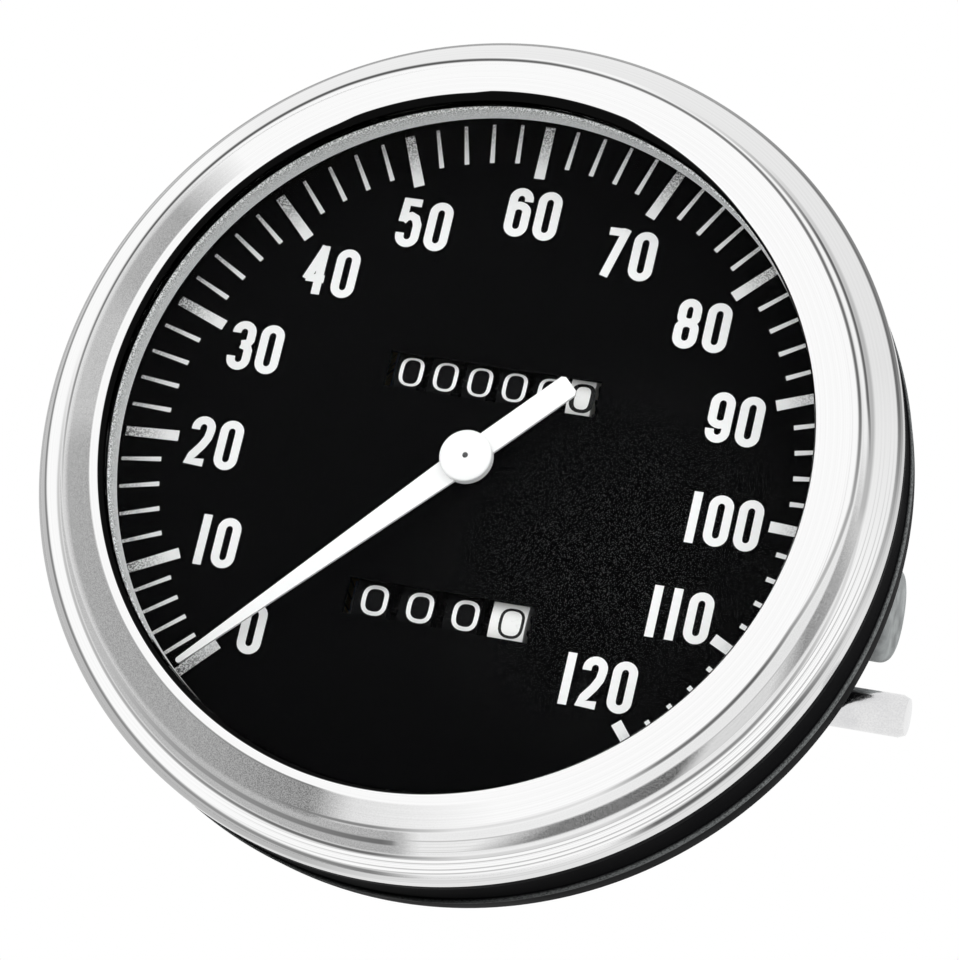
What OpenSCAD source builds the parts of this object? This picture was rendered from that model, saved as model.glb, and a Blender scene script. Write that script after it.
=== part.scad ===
// A round dash speedometer for a motorcycle, with an odometer, a trip counter and a reset stem at the side.
// The dial faces -Y and twelve o'clock is +Z.
// The origin is the middle of the two studs, on the back of the case.
// Each piece is drawn in the instrument's own axes: x to the right, y up, z from the back to the glass.

/* [Bezel and glass] */
// Outer diameter of the polished bezel
bezel_d = 127; // [124:0.5:134]
// Width of the bezel's ring, seen from the front
bezel_w = 10.95; // [10.4:0.05:12]
// Thickness of the bezel's sheet
bezel_t = 0.8; // [0.6:0.05:0.9]
// Width of the fine groove between the two bands
groove_w = 1.3; // [0.9:0.1:1.6]
// Depth of the fine groove
groove_h = 0.35; // [0.2:0.05:0.5]
// Thickness of the flat glass
lens_t = 1.8; // [1.5:0.1:2.2]
// Rubber between the glass and the trim ring, and between the glass and the bezel
seal_t = 0.5; // [0.4:0.05:0.7]

/* [Case] */
// How far the barrel's mouth, which the bezel is rolled round, lies inside the bezel's edge
barrel_in = 1.7; // [1.5:0.1:2.2]
// How far the barrel's wall behind its mouth lies inside the bezel's edge
wall_in = 0.6; // [0.6:0.1:1.2]
// Room between the counters' frames and the wall of the rear can
can_room = 5.5; // [4.8:0.1:8]
// How far the rear can's lip reaches out over the barrel's floor
can_lip = 2.5; // [1.5:0.1:4]
// Round corner at the back of the rear can
can_round = 2.5; // [1.5:0.1:4]
// Gap between the reset bush and the barrel's floor
step_gap = 0.1; // [0.1:0.1:4]
// Thickness of the case's sheet
case_t = 0.9; // [0.7:0.05:1]
// How far the rolled bead stands out from the barrel
bead_h = 0.45; // [0.3:0.05:0.6]
// Width of the rolled bead
bead_w = 2.4; // [1.6:0.1:3]

/* [Dial and trim] */
// How far the dial's face lies behind the case's flange
dial_drop = 4.6; // [4:0.1:5.5]
// Thickness of the dial plate
dial_t = 0.8; // [0.5:0.1:1]
// Height of the bright trim ring
trim_h = 4; // [3:0.1:5]
// Thickness of the trim ring's sheet
trim_t = 0.5; // [0.4:0.05:0.8]
// How far the trim ring reaches inside the bezel's lip
trim_in = 0.75; // [0.4:0.05:1.2]
// How far the black spacer's wall lies behind the trim ring
spacer_back = 2.6; // [2.2:0.1:3.2]
// Thickness of the spacer's wall and flange
spacer_t = 1; // [0.8:0.1:1.2]

/* [Pointer] */
// Gap between the pointer's tip and the trim ring
tip_gap = 0.6; // [0.6:0.1:4]
// Length of the pointer's tail
tail_l = 18.4; // [12:0.2:24]
// Width of the pointer at its hub
pointer_w = 4.2; // [3.4:0.1:4.8]
// Width of the pointer at its tip
tip_w = 0.9; // [0.8:0.1:2]
// Width of the pointer's tail
tail_w = 3.6; // [3:0.1:4.4]
// Thickness of the pointer's sheet
pointer_t = 0.5; // [0.4:0.1:0.8]
// Height of the pointer's sheet above the dial
pointer_z = 3.2; // [2.4:0.1:4]
// Diameter of the pointer's round hub
hub_d = 7.8; // [7:0.1:9]
// Height of the hub's cap
hub_h = 1.1; // [0.8:0.1:1.4]
// Angle at which the pointer rests, counted from three o'clock
pointer_rest = 226.3; // [225:0.1:230]

/* [Counters] */
// Height of the odometer's windows above the middle of the dial
odo_y = 12.7; // [12.6:0.05:13]
// Drop of the trip counter's windows below the middle of the dial
trip_y = 22.07; // [21.5:0.05:22.6]
// Distance from one odometer drum to the next
odo_pitch = 5.3; // [5.2:0.05:5.4]
// Distance from one trip drum to the next
trip_pitch = 6.9; // [6.7:0.05:7]
// Radius of the number drums
drum_r = 9; // [8.6:0.05:9.3]
// Gap between the drums and the back of the dial
drum_gap = 0.5; // [0.3:0.1:0.9]
// Height of the two windows in the dial
window_h = 5.5; // [4.8:0.1:7]
// Gap between the sides of a window and the outer drums
window_gap = 0.2; // [0.1:0.05:0.4]
// Radius of the fixed odometer axle
axle_r = 1.2; // [1:0.05:1.35]
// Radius of the thin shafts that carry the transfer pinions
pin_r = 0.7; // [0.5:0.05:0.9]
// Width of the toothed ring at a drum's right side
ring_w = 0.8; // [0.6:0.05:0.9]
// Width of the carry disc at a drum's left side
carry_w = 0.6; // [0.5:0.05:0.7]

/* [Gear train] */
// Pitch of the worms' threads and of the wheels that they turn
worm_pitch = 1.3; // [1.25:0.01:1.35]
// Turns of thread on each worm
worm_turns = 3; // [3:1:4]
// Radius of the drive shaft
drive_r = 1.75; // [1.6:0.05:1.9]
// Radius of the two thin worm shafts
shaft_r = 0.8; // [0.6:0.05:0.9]
// Thickness of the spur gears
spur_t = 1; // [0.8:0.05:1.1]
// How far the idler gear's middle lies behind the counters' axes
idler_drop = 1.2; // [0.9:0.1:1.4]

/* [Movement] */
// Thickness of the two frame plates
plate_t = 1.5; // [1.2:0.1:1.8]
// Gap between the frame plates and the can's wall
plate_gap = 3.6; // [3:0.1:5]
// Distance from the cross shaft's axis to the rear plate
cross_room = 6; // [5:0.1:8]
// Distance from the rear plate to the magnet
magnet_lift = 2.7; // [2:0.1:4]
// Room for the hairspring between the speed cup and the front plate
spring_room = 3.85; // [3.3:0.05:6]
// Distance from the front plate to the counters' axles
axle_rise = 12.7; // [11.2:0.1:16]
// Radius of the turned pillars between the plates
pillar_r = 2.5; // [2.2:0.1:2.8]
// Radius of the thin pillars that carry the dial
dial_pillar_r = 1.8; // [1.5:0.1:2]
// Radius of the pointer's spindle
spindle_r = 0.75; // [0.6:0.05:0.9]
// Radius of the magnet
magnet_r = 14; // [12:0.1:14.4]
// Thickness of the magnet
magnet_t = 4.4; // [3.6:0.1:5]
// Thickness of the speed cup's sheet
cup_t = 0.5; // [0.4:0.05:0.6]
// Air gap on each side of the speed cup
air_gap = 0.5; // [0.4:0.05:0.7]
// Thickness of the field ring's wall
field_t = 1.6; // [1.2:0.1:2]
// Running gap around every turning shaft
run_gap = 0.05; // [0.03:0.01:0.08]

/* [Connections] */
// Distance between the two mounting studs
stud_pcd = 63.5; // [60:0.5:66]
// Radius of the mounting studs
stud_r = 2.4; // [2:0.1:3]
// Length of the studs outside the case
stud_l = 14; // [10:0.5:20]
// Radius of the threaded nipple for the drive cable
nipple_r = 7.9; // [7:0.1:9]
// Length of the nipple outside the case
nipple_l = 14; // [12:0.5:18]
// Radius of the reset stem
stem_r = 3.1; // [2.8:0.05:3.3]
// How far the stem's end lies from the middle of the dial
stem_x = 66.9; // [64:0.1:74]
// How far the stem's axis lies behind the trip counter's axle
stem_drop = 6.2; // [6:0.05:6.4]
// Radius of the lamp holder's rubber boot
boot_r = 7.2; // [6.4:0.1:7.4]
// Length of the boot outside the can
boot_l = 17; // [10:0.1:24]
// Drop of the lamp below the middle of the dial
lamp_y = 6.7; // [6:0.1:7.4]

/* [Hidden] */
ODOMETER_DRUMS = 6;
TRIP_DRUMS = 4;

ROUND = 96;
SMALL = 32;
// Gap around a pin, pillar or bush that is fixed in its hole
fix_gap = 0.03;

// Radii of the bezel, the glass and what lies under it
bezel_r = bezel_d / 2;
lip_r = bezel_r - bezel_w;
trim_r = lip_r - trim_in;
spacer_r = trim_r + spacer_back;
dial_r = spacer_r + spacer_t + 1.7;
lens_r = lip_r + 2.5;
flange_r = bezel_r - bezel_t - 0.1;
barrel_r = bezel_r - barrel_in;
wall_r = bezel_r - wall_in;

// Boss of the pointer's hub
boss_r = 1.5;

// Gears of the counters
WORM_TEETH = 10;
RING_TEETH = 20;
PINION_TEETH = 8;
SPUR_TEETH = 30;
IDLER_TEETH = 40;
RESET_GEAR_TEETH = 18;
RESET_PINION_TEETH = 12;
wheel_r = WORM_TEETH * worm_pitch / (2 * PI);
worm_r = odo_y / 3 - wheel_r;
thread_h = 0.277 * worm_pitch;
thread_root = 0.346 * worm_pitch;
worm_l = worm_turns * worm_pitch;
worm_outer = worm_r + thread_h;

// The counters' drums
drum_side_gap = 0.2;
band_w = odo_pitch - ring_w - carry_w - drum_side_gap;
trip_band_w = trip_pitch - ring_w - carry_w - drum_side_gap;
odo_half = ODOMETER_DRUMS * odo_pitch / 2;
trip_half = TRIP_DRUMS * trip_pitch / 2;
ring_m = 0.7;
ring_pitch_r = RING_TEETH * ring_m / 2;
pinion_pitch_r = PINION_TEETH * ring_m / 2;
pinion_reach = ring_pitch_r + pinion_pitch_r;
PINION_ANGLE = 40;
pinion_up = pinion_reach * cos(PINION_ANGLE);
pinion_back = pinion_reach * sin(PINION_ANGLE);
carry_r = ring_pitch_r - 0.9;
drum_hub_r = 3;

// The worm train, from the drive shaft to the odometer
nipple_flange_t = 2;
nipple_bore_r = 5;
neck_out_r = nipple_r + 0.4;
drive_bush_l = 4;
spur_x = max(odo_half, trip_half) + 0.4;
cross_z = case_t + nipple_flange_t + 0.8 + worm_l / 2 + 1.4;
cross_y = worm_r + wheel_r;
upright_x = spur_x + spur_t + 0.3 + worm_outer;
upright_y = 2 * cross_y;

// Heights of the movement above the back of the case, from the back to the front
rear_plate_z = cross_z + cross_room;
magnet_z = rear_plate_z + plate_t + magnet_lift;
cup_r = magnet_r + air_gap + cup_t;
cup_z = magnet_z + magnet_t + air_gap;
field_r = cup_r + air_gap;
front_plate_z = cup_z + cup_t + spring_room;
front_face_z = front_plate_z + plate_t;
counter_z = front_face_z + axle_rise;
dial_z = counter_z + drum_r + drum_gap + dial_t;
spring_z = front_plate_z - 2.4;
spring_h = 0.8;
spring_in_r = 1.75;
spring_out_r = 8.6;
spring_stud_r = 0.8;

// Heights of the case, the trim and the glass
flange_z = dial_z + dial_drop;
trim_z = flange_z + spacer_t;
seal_z = trim_z + trim_h;
lens_z = seal_z + 0.3;
lip_z = lens_z + lens_t + seal_t + 0.2;
bezel_z = flange_z - case_t - bezel_t;

// The spur train from the odometer down to the trip counter
counter_span = odo_y + trip_y;
idler_reach = sqrt(pow(counter_span / 2, 2) + pow(idler_drop, 2));
spur_m = 2 * idler_reach / (SPUR_TEETH + IDLER_TEETH);
spur_r = SPUR_TEETH * spur_m / 2;
idler_r = IDLER_TEETH * spur_m / 2;
idler_y = (odo_y - trip_y) / 2;
idler_z = counter_z - idler_drop;
IDLER_TILT = atan2(idler_drop, counter_span / 2);
IDLER_OFF = (180 - 2 * IDLER_TILT) % (360 / IDLER_TEETH) * IDLER_TEETH / SPUR_TEETH;

// The counters' frames
frame_t = 1;
frame_gap = 0.4;
odo_frame_left = -odo_half - frame_gap;
odo_frame_right = upright_x + worm_outer + frame_gap;
trip_frame_left = -trip_half - frame_gap;
trip_frame_right = spur_x + spur_t + 0.7;
post_r = 1.5;
frame_top = 3.2;
frame_low = 4;
frame_up = pinion_up + pin_r + 2.8;

// The rear can, which holds the counters' frames
can_r = norm([trip_frame_right + frame_t, trip_y + frame_up]) + can_room + case_t;
shank_r = stud_r + 0.3;
stud_relief_l = 0.2;
relief_l = 0.6;
chamfer = 0.6;

// The movement's plates and pillars
plate_r = can_r - case_t - plate_gap;
spindle_bush_r = 2.5;
spindle_flange_r = spindle_bush_r + 0.7;
screw_r = 1.2;
screw_l = 3;
screw_head_r = screw_r + 1;
screw_head_h = 1.2;
pillar_at = plate_r - pillar_r - 3.9;
PILLAR_ANGLES = [36.5, 143.5, 216.5, 323.5];
dial_pillar_at = plate_r - dial_pillar_r - 0.6;
DIAL_PILLAR_ANGLES = [15, 165, 270];
bracket_left = -4.5;
bracket_right = upright_x + worm_l / 2 + 0.8;
bracket_t = 1;
ear_r = 2.6;
ear_drop = 2.4;
ear_up = 6.9;

// The reset stem
stem_z = counter_z - stem_drop;
reset_m = 2 * stem_drop / (RESET_GEAR_TEETH + RESET_PINION_TEETH);
reset_gear_r = RESET_GEAR_TEETH * reset_m / 2;
reset_pinion_r = RESET_PINION_TEETH * reset_m / 2;
reset_x = trip_frame_right + frame_t + 0.3;
reset_gear_t = 2;
collar_t = 1.5;
stem_tip_r = 1;
journal_r = stem_r + 0.2;
bush_sleeve_r = journal_r + 0.65;
bush_r = bush_sleeve_r + 0.45;
wall_x = sqrt(pow(can_r, 2) - pow(trip_y, 2));
bush_in = wall_x - case_t - 3.2;
bush_out = wall_x + 3.4;

// The step between the can and the barrel, and the lamp below it
step_z = stem_z + bush_r + step_gap;
seat_z = step_z + case_t;
bead_z = step_z + 1.3;
lamp_z = step_z - boot_r - 0.3;
neck_r = 5.2;
bulb_r = 3;
neck_in = can_r - 7;
bulb_x = neck_in - 5;
boot_in = can_r + 0.3;

// Turns the instrument's own axes, with z towards the viewer, into the part's frame
module facing() {
    rotate([90, 0, 0]) children();
}

// A turned ring between two radii
module ring(outer, inner, height, fn = ROUND) {
    difference() {
        cylinder(r = outer, h = height, $fn = fn);
        translate([0, 0, -1]) cylinder(r = inner, h = height + 2, $fn = fn);
    }
}

// Lays a turned piece along the x axis, starting at x
module along_x(x, y, z) {
    translate([x, y, z]) rotate([90, 0, 90]) children();
}

function polar(radius, angle) = [radius * cos(angle), radius * sin(angle)];

// Points of an arc around a centre, used in turned outlines
function arc(centre, radius, from, to, steps = 6) =
    [for (i = [0:steps]) centre + polar(radius, from + (to - from) * i / steps)];

// Points of a shallow crown between two points, rising by a height at its middle
function crown(a, b, rise, steps = 6) = [
    for (i = [0:steps])
        let (s = i / steps, n = [a[1] - b[1], b[0] - a[0]] / norm(b - a))
        a + (b - a) * s + n * rise * 4 * s * (1 - s)
];

// Outline of a spur gear whose first tooth points along +x, or whose first gap does
module gear_outline(teeth, pitch_r, addendum, dedendum, fill = 0.4, phase = 0) {
    step = 360 / teeth;
    root = step * (fill + 0.14) / 2;
    tip = step * (fill - 0.16) / 2;
    polygon([
        for (i = [0:teeth - 1])
        for (p = [[-root, -dedendum], [-tip, addendum], [tip, addendum], [root, -dedendum]])
        polar(pitch_r + p[1], (i + phase) * step + p[0])
    ]);
}

// A left-handed worm around z, whose thread passes the direction +x at z = 0
module worm() {
    crest = 52;
    flank = 88;
    turn = 360 * worm_turns;
    outline = concat(
        [for (a = [-crest, 0, crest]) polar(worm_outer, a)],
        [for (a = [flank:(360 - 2 * flank) / 5:360 - flank + 0.01]) polar(worm_r - thread_root, a)]
    );
    rotate([0, 0, turn / 2]) translate([0, 0, -worm_l / 2])
        linear_extrude(height = worm_l, twist = turn, slices = 12 * worm_turns) polygon(outline);
}

// A ten-toothed wheel around z, centred on z = 0, with a gap towards +x
module worm_wheel(width = 1.8) {
    translate([0, 0, -width / 2]) linear_extrude(height = width)
        gear_outline(WORM_TEETH, wheel_r, thread_h - 0.02, thread_root - 0.02, 0.33, 0.5);
}

// The polished ring, spun from one sheet: a lip, a broad band, a fine groove, a second band and a skirt
module bezel() facing() color("silver") {
    groove_r = bezel_r - 3.75;
    inner_band = crown([lip_r + 1.3, lip_z + bezel_t + 0.3], [groove_r - groove_w, lip_z - 1.35], 0.35);
    groove = [
        [groove_r - groove_w + 0.2, lip_z - 1.45 - groove_h],
        [groove_r - 0.1, lip_z - 1.9 - groove_h],
        [groove_r, lip_z - 1.95]
    ];
    outer_band = crown([groove_r + 0.1, lip_z - 1.95], [bezel_r - 0.75, lip_z - 4.1], 0.25);
    skirt = concat(
        [[bezel_r - 0.6, lip_z - 4.35], [bezel_r - 0.55, lip_z - 4.5]],
        arc([bezel_r - 0.9, lip_z - 5.3], 0.9, 50, 0, 3),
        arc([bezel_r - 0.6, bezel_z + 0.6], 0.6, 0, -90, 4)
    );
    inside = [
        [barrel_r + 0.12, bezel_z],
        [barrel_r + 0.12, bezel_z + bezel_t],
        [bezel_r - bezel_t, bezel_z + bezel_t],
        [bezel_r - bezel_t, lip_z - 5.3],
        [bezel_r - bezel_t - 0.9, lip_z - 4.6],
        [groove_r + 0.1, lip_z - 1.95 - bezel_t - groove_h],
        [groove_r - groove_w, lip_z - 1.35 - bezel_t - groove_h],
        [lens_r, lip_z - 0.15],
        [lens_r - 0.3, lip_z],
        [lip_r, lip_z]
    ];
    lip = arc([lip_r + 0.5, lip_z + bezel_t - 0.4], 0.5, 180, 110, 4);
    rotate_extrude($fn = ROUND) polygon(concat(lip, inner_band, groove, outer_band, skirt, inside));
}

// Flat glass
module lens() facing() color([0.85, 0.9, 0.92, 0.35])
    translate([0, 0, lens_z]) cylinder(r = lens_r, h = lens_t, $fn = ROUND);

// Black rubber channel that holds the edge of the glass
module lens_seal() facing() color("black") {
    inner = lip_r + 0.35;
    outer = lens_r + 0.35;
    top = lens_z + lens_t;
    rotate_extrude($fn = ROUND) polygon([
        [inner, seal_z], [outer, seal_z], [outer, top], [lens_r - 0.3, lip_z], [inner, lip_z],
        [inner, top], [lens_r + 0.03, top], [lens_r + 0.03, lens_z], [inner, lens_z]
    ]);
}

// Bright rolled channel whose inner wall shows as a silver line around the dial
module trim_ring() facing() color("gainsboro") {
    outer = lens_r + 0.6;
    rotate_extrude($fn = ROUND) polygon([
        [trim_r, trim_z], [outer, trim_z], [outer, trim_z + trim_t], [trim_r + trim_t, trim_z + trim_t],
        [trim_r + trim_t, seal_z - trim_t], [outer, seal_z - trim_t], [outer, seal_z], [trim_r, seal_z]
    ]);
}

// Black ring that holds the dial down and carries the trim ring
module spacer_ring() facing() color("black") {
    outer = flange_r - 0.2;
    rotate_extrude($fn = ROUND) polygon([
        [spacer_r, dial_z], [spacer_r + spacer_t, dial_z], [spacer_r + spacer_t, flange_z],
        [outer, flange_z], [outer, trim_z], [spacer_r, trim_z]
    ]);
}

// Dial with its two windows, the hole for the spindle and its black face
module dial_plate() facing() color("black") {
    translate([0, 0, dial_z - dial_t]) difference() {
        cylinder(r = dial_r, h = dial_t, $fn = ROUND);
        translate([0, 0, -1]) cylinder(r = 2.2, h = dial_t + 2, $fn = SMALL);
        dial_window(odo_half, odo_y);
        dial_window(trip_half, -trip_y);
    }
}

module dial_window(half, y) {
    translate([-half - window_gap, y - window_h / 2, -1])
        cube([2 * (half + window_gap), window_h, dial_t + 2]);
}

// Three thin pillars between the front frame plate and the dial
module dial_pillars() facing() color("goldenrod")
    for (a = DIAL_PILLAR_ANGLES)
        translate([dial_pillar_at * cos(a), dial_pillar_at * sin(a), front_face_z])
            cylinder(r = dial_pillar_r, h = dial_z - dial_t - front_face_z, $fn = SMALL);

// Black rear can, with an outward lip at its mouth and holes for what passes through it
module case_can() facing() color([0.08, 0.08, 0.09]) difference() {
    rotate_extrude($fn = ROUND) polygon(concat(
        [[0, 0]],
        arc([can_r - can_round, can_round], can_round, -90, 0, 5),
        [[can_r, seat_z], [can_r + can_lip, seat_z], [can_r + can_lip, seat_z + case_t]],
        [[can_r - case_t, seat_z + case_t]],
        arc([can_r - can_round, can_round], can_round - case_t, 0, -90, 5),
        [[0, case_t]]
    ));
    translate([0, 0, -1]) cylinder(r = neck_out_r + fix_gap, h = 4, $fn = SMALL);
    for (side = [-1, 1])
        translate([side * stud_pcd / 2, 0, -1]) cylinder(r = shank_r + fix_gap, h = 4, $fn = SMALL);
    along_x(0, -trip_y, stem_z) cylinder(r = bush_sleeve_r + fix_gap, h = can_r, $fn = SMALL);
    along_x(0, -lamp_y, lamp_z) cylinder(r = neck_r + fix_gap, h = can_r + 2, $fn = SMALL);
}

// Black front barrel with its rolled bead, whose floor the can's lip lies on and is soldered to
// Its wall steps in behind the bezel, which is rolled round the flange at its mouth
module case_barrel() facing() color([0.08, 0.08, 0.09]) {
    bead_top = bead_z + bead_w;
    neck_z = bezel_z - 0.2;
    shoulder_z = neck_z - (wall_r - barrel_r);
    fold = 0.41 * case_t;
    rotate_extrude($fn = ROUND) polygon(concat(
        [[can_r + fix_gap, step_z]],
        arc([wall_r - 1.2, step_z + 1.2], 1.2, -90, -10, 4),
        [[wall_r + bead_h, bead_z + 0.3], [wall_r + bead_h, bead_top - 0.3], [wall_r, bead_top]],
        [[wall_r, shoulder_z], [barrel_r, neck_z], [barrel_r, flange_z - case_t]],
        [[flange_r, flange_z - case_t], [flange_r, flange_z], [barrel_r - case_t, flange_z]],
        [[barrel_r - case_t, neck_z - fold], [wall_r - case_t, shoulder_z - fold]],
        [[wall_r - case_t, seat_z], [can_r + fix_gap, seat_z]]
    ));
}

// Two studs, each turned with a thick post that carries the movement inside the case
module mounting_studs() facing() color("silver")
    for (side = [-1, 1]) translate([side * stud_pcd / 2, 0, 0]) {
        translate([0, 0, case_t]) cylinder(r = stud_r + 1.1, h = rear_plate_z - case_t, $fn = SMALL);
        cylinder(r = shank_r, h = case_t + 0.5, $fn = SMALL);
        translate([0, 0, -stud_l + 1]) cylinder(r = stud_r - 0.4, h = stud_l, $fn = SMALL);
        translate([0, 0, chamfer - stud_l])
            cylinder(r = stud_r, h = stud_l - chamfer - stud_relief_l, $fn = SMALL);
        translate([0, 0, -stud_l]) cylinder(r1 = stud_r - 0.5, r2 = stud_r, h = chamfer, $fn = SMALL);
    }

// Nipple for the nut of the drive cable
module drive_nipple() facing() color("silver") difference() {
    union() {
        translate([0, 0, case_t]) cylinder(r = nipple_r + 3, h = nipple_flange_t, $fn = SMALL);
        cylinder(r = neck_out_r, h = case_t + 0.5, $fn = SMALL);
        translate([0, 0, -nipple_l + 1]) cylinder(r = nipple_r - 0.6, h = nipple_l, $fn = SMALL);
        translate([0, 0, chamfer - nipple_l])
            cylinder(r = nipple_r, h = nipple_l - chamfer - relief_l, $fn = SMALL);
        translate([0, 0, -nipple_l]) cylinder(r1 = nipple_r - 0.6, r2 = nipple_r, h = chamfer, $fn = SMALL);
    }
    translate([0, 0, -nipple_l - 1]) cylinder(r = nipple_bore_r, h = nipple_l + 10, $fn = SMALL);
}

// Bronze bearing pressed into the nipple
module drive_bush() facing() color("darkgoldenrod")
    translate([0, 0, -drive_bush_l])
        ring(nipple_bore_r - fix_gap, drive_r + run_gap, drive_bush_l + case_t + nipple_flange_t, SMALL);

// Plate at the back of the movement
module rear_plate() facing() color("goldenrod")
    translate([0, 0, rear_plate_z]) difference() {
        cylinder(r = plate_r, h = plate_t, $fn = ROUND);
        translate([0, 0, -1]) cylinder(r = drive_r + run_gap, h = plate_t + 2, $fn = SMALL);
        translate([upright_x, upright_y, -1]) cylinder(r = shaft_r + run_gap, h = plate_t + 2, $fn = SMALL);
    }

// Plate at the front of the movement, cut away beside the lamp
module front_plate() facing() color("goldenrod")
    translate([0, 0, front_plate_z]) difference() {
        cylinder(r = plate_r, h = plate_t, $fn = ROUND);
        translate([0, 0, -1]) cylinder(r = spindle_bush_r + fix_gap, h = plate_t + 2, $fn = SMALL);
        translate([upright_x, upright_y, -1]) cylinder(r = shaft_r + run_gap, h = plate_t + 2, $fn = SMALL);
        translate([bulb_x - bulb_r - 1, -lamp_y - neck_r - 1, -1])
            cube([plate_r, 2 * neck_r + 2, plate_t + 2]);
        for (a = PILLAR_ANGLES)
            translate([pillar_at * cos(a), pillar_at * sin(a), -1])
                cylinder(r = screw_r + fix_gap, h = plate_t + 2, $fn = SMALL);
    }

// Four pillars that hold the plates apart
module frame_pillars() facing() color("goldenrod")
    for (a = PILLAR_ANGLES)
        translate([pillar_at * cos(a), pillar_at * sin(a), rear_plate_z + plate_t]) difference() {
            h = front_plate_z - rear_plate_z - plate_t;
            cylinder(r = pillar_r, h = h, $fn = SMALL);
            translate([0, 0, h - screw_l - 1]) cylinder(r = screw_r + fix_gap, h = screw_l + 2, $fn = SMALL);
        }

// Cheese-head screws through the front plate into the pillars
module frame_screws() facing() color("silver")
    for (a = PILLAR_ANGLES)
        translate([pillar_at * cos(a), pillar_at * sin(a), front_face_z]) difference() {
            union() {
                cylinder(r = screw_head_r, h = screw_head_h, $fn = SMALL);
                translate([0, 0, -plate_t - screw_l])
                    cylinder(r = screw_r, h = plate_t + screw_l + 0.5, $fn = SMALL);
            }
            translate([-screw_head_r - 1, -0.3, screw_head_h - 0.5]) cube([2 * screw_head_r + 2, 0.6, 1]);
        }

// Soft iron ring around the speed cup, which closes the magnet's field
module field_ring() facing() color("dimgray")
    translate([0, 0, rear_plate_z + plate_t]) union() {
        ring(field_r + field_t, field_r, cup_z - rear_plate_z - plate_t, ROUND);
        ring(field_r + field_t + 1.5, field_r, 0.8, ROUND);
    }

// Flat spiral spring that pulls the pointer back
module hairspring() facing() color("steelblue") {
    turns = 3;
    steps = 20 * turns;
    thick = 0.12;
    growth = (spring_out_r - spring_in_r) / steps;
    path = [for (i = [0:steps]) [spring_in_r + growth * i, 360 * turns * i / steps]];
    outer_edge = [for (p = path) polar(p[0] + thick, p[1])];
    inner_edge = [for (i = [steps:-1:0]) polar(path[i][0] - thick, path[i][1])];
    translate([0, 0, spring_z]) linear_extrude(height = spring_h) polygon(concat(outer_edge, inner_edge));
}

// Post under the front plate that holds the outer end of the hairspring
module spring_stud() facing() color("goldenrod")
    translate([spring_out_r + spring_stud_r + 0.2, 0, spring_z - 0.4])
        cylinder(r = spring_stud_r, h = front_plate_z - spring_z + 0.4, $fn = SMALL);

// Flanged bearing of the pointer's spindle, set in the front plate
module spindle_bush() facing() color("darkgoldenrod") difference() {
    union() {
        translate([0, 0, front_plate_z]) cylinder(r = spindle_bush_r, h = plate_t + 0.5, $fn = SMALL);
        translate([0, 0, front_face_z]) cylinder(r = spindle_flange_r, h = 1, $fn = SMALL);
    }
    translate([0, 0, front_plate_z - 1]) cylinder(r = spindle_r + run_gap, h = plate_t + 4, $fn = SMALL);
}

// Side wall of a counter's frame, across x, with holes for the axle and for the pinions' shaft
module frame_side(x, y, dir, low, hole_r) {
    bottom = min(y - dir * low, y + dir * frame_up);
    difference() {
        translate([x, bottom, front_face_z])
            cube([frame_t, frame_up + low, counter_z + frame_top - front_face_z]);
        along_x(x - 1, y, counter_z) cylinder(r = hole_r, h = frame_t + 2, $fn = SMALL);
        along_x(x - 1, y + dir * pinion_up, counter_z - pinion_back)
            cylinder(r = pin_r + fix_gap, h = frame_t + 2, $fn = SMALL);
    }
}

// Bent frame of the odometer: a base on the front plate and two side walls
module odometer_frame() facing() color("lightgray") {
    base_y = spindle_flange_r + 0.8;
    difference() {
        translate([odo_frame_left, base_y, front_face_z])
            cube([odo_frame_right - odo_frame_left, odo_y + frame_up - base_y, frame_t]);
        translate([upright_x, upright_y, front_face_z - 1])
            cylinder(r = shaft_r + 0.3, h = frame_t + 2, $fn = SMALL);
    }
    frame_side(odo_frame_left - frame_t, odo_y, 1, frame_low, axle_r + fix_gap);
    frame_side(odo_frame_right, odo_y, 1, frame_low, axle_r + fix_gap);
}

// Fixed axle of the odometer's drums, held by its ends in the frame
module odometer_axle() facing() color("silver")
    along_x(odo_frame_left - frame_t, odo_y, counter_z)
        cylinder(r = axle_r, h = odo_frame_right - odo_frame_left + 2 * frame_t, $fn = SMALL);

// Bent frame of the trip counter, whose right wall reaches up to the idler gear
module trip_frame() facing() color("lightgray") union() {
    translate([trip_frame_left, -trip_y - frame_up, front_face_z])
        cube([trip_frame_right - trip_frame_left, drum_r + frame_up - 0.8, frame_t]);
    frame_side(trip_frame_left - frame_t, -trip_y, -1, frame_low, axle_r + run_gap);
    difference() {
        frame_side(trip_frame_right, -trip_y, -1, idler_y + trip_y + 3, axle_r + run_gap);
        along_x(trip_frame_right - 1, idler_y, idler_z)
            cylinder(r = post_r + fix_gap, h = frame_t + 2, $fn = SMALL);
        along_x(trip_frame_right - 1, -trip_y, stem_z)
            cylinder(r = stem_tip_r + run_gap, h = frame_t + 2, $fn = SMALL);
    }
}

// Two thin fixed shafts on which the transfer pinions turn, one in each counter's frame
module pinion_shafts() facing() color("silver") {
    along_x(odo_frame_left - frame_t, odo_y + pinion_up, counter_z - pinion_back)
        cylinder(r = pin_r, h = odo_frame_right - odo_frame_left + 2 * frame_t, $fn = SMALL);
    along_x(trip_frame_left - frame_t, -trip_y - pinion_up, counter_z - pinion_back)
        cylinder(r = pin_r, h = trip_frame_right - trip_frame_left + 2 * frame_t, $fn = SMALL);
}

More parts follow.
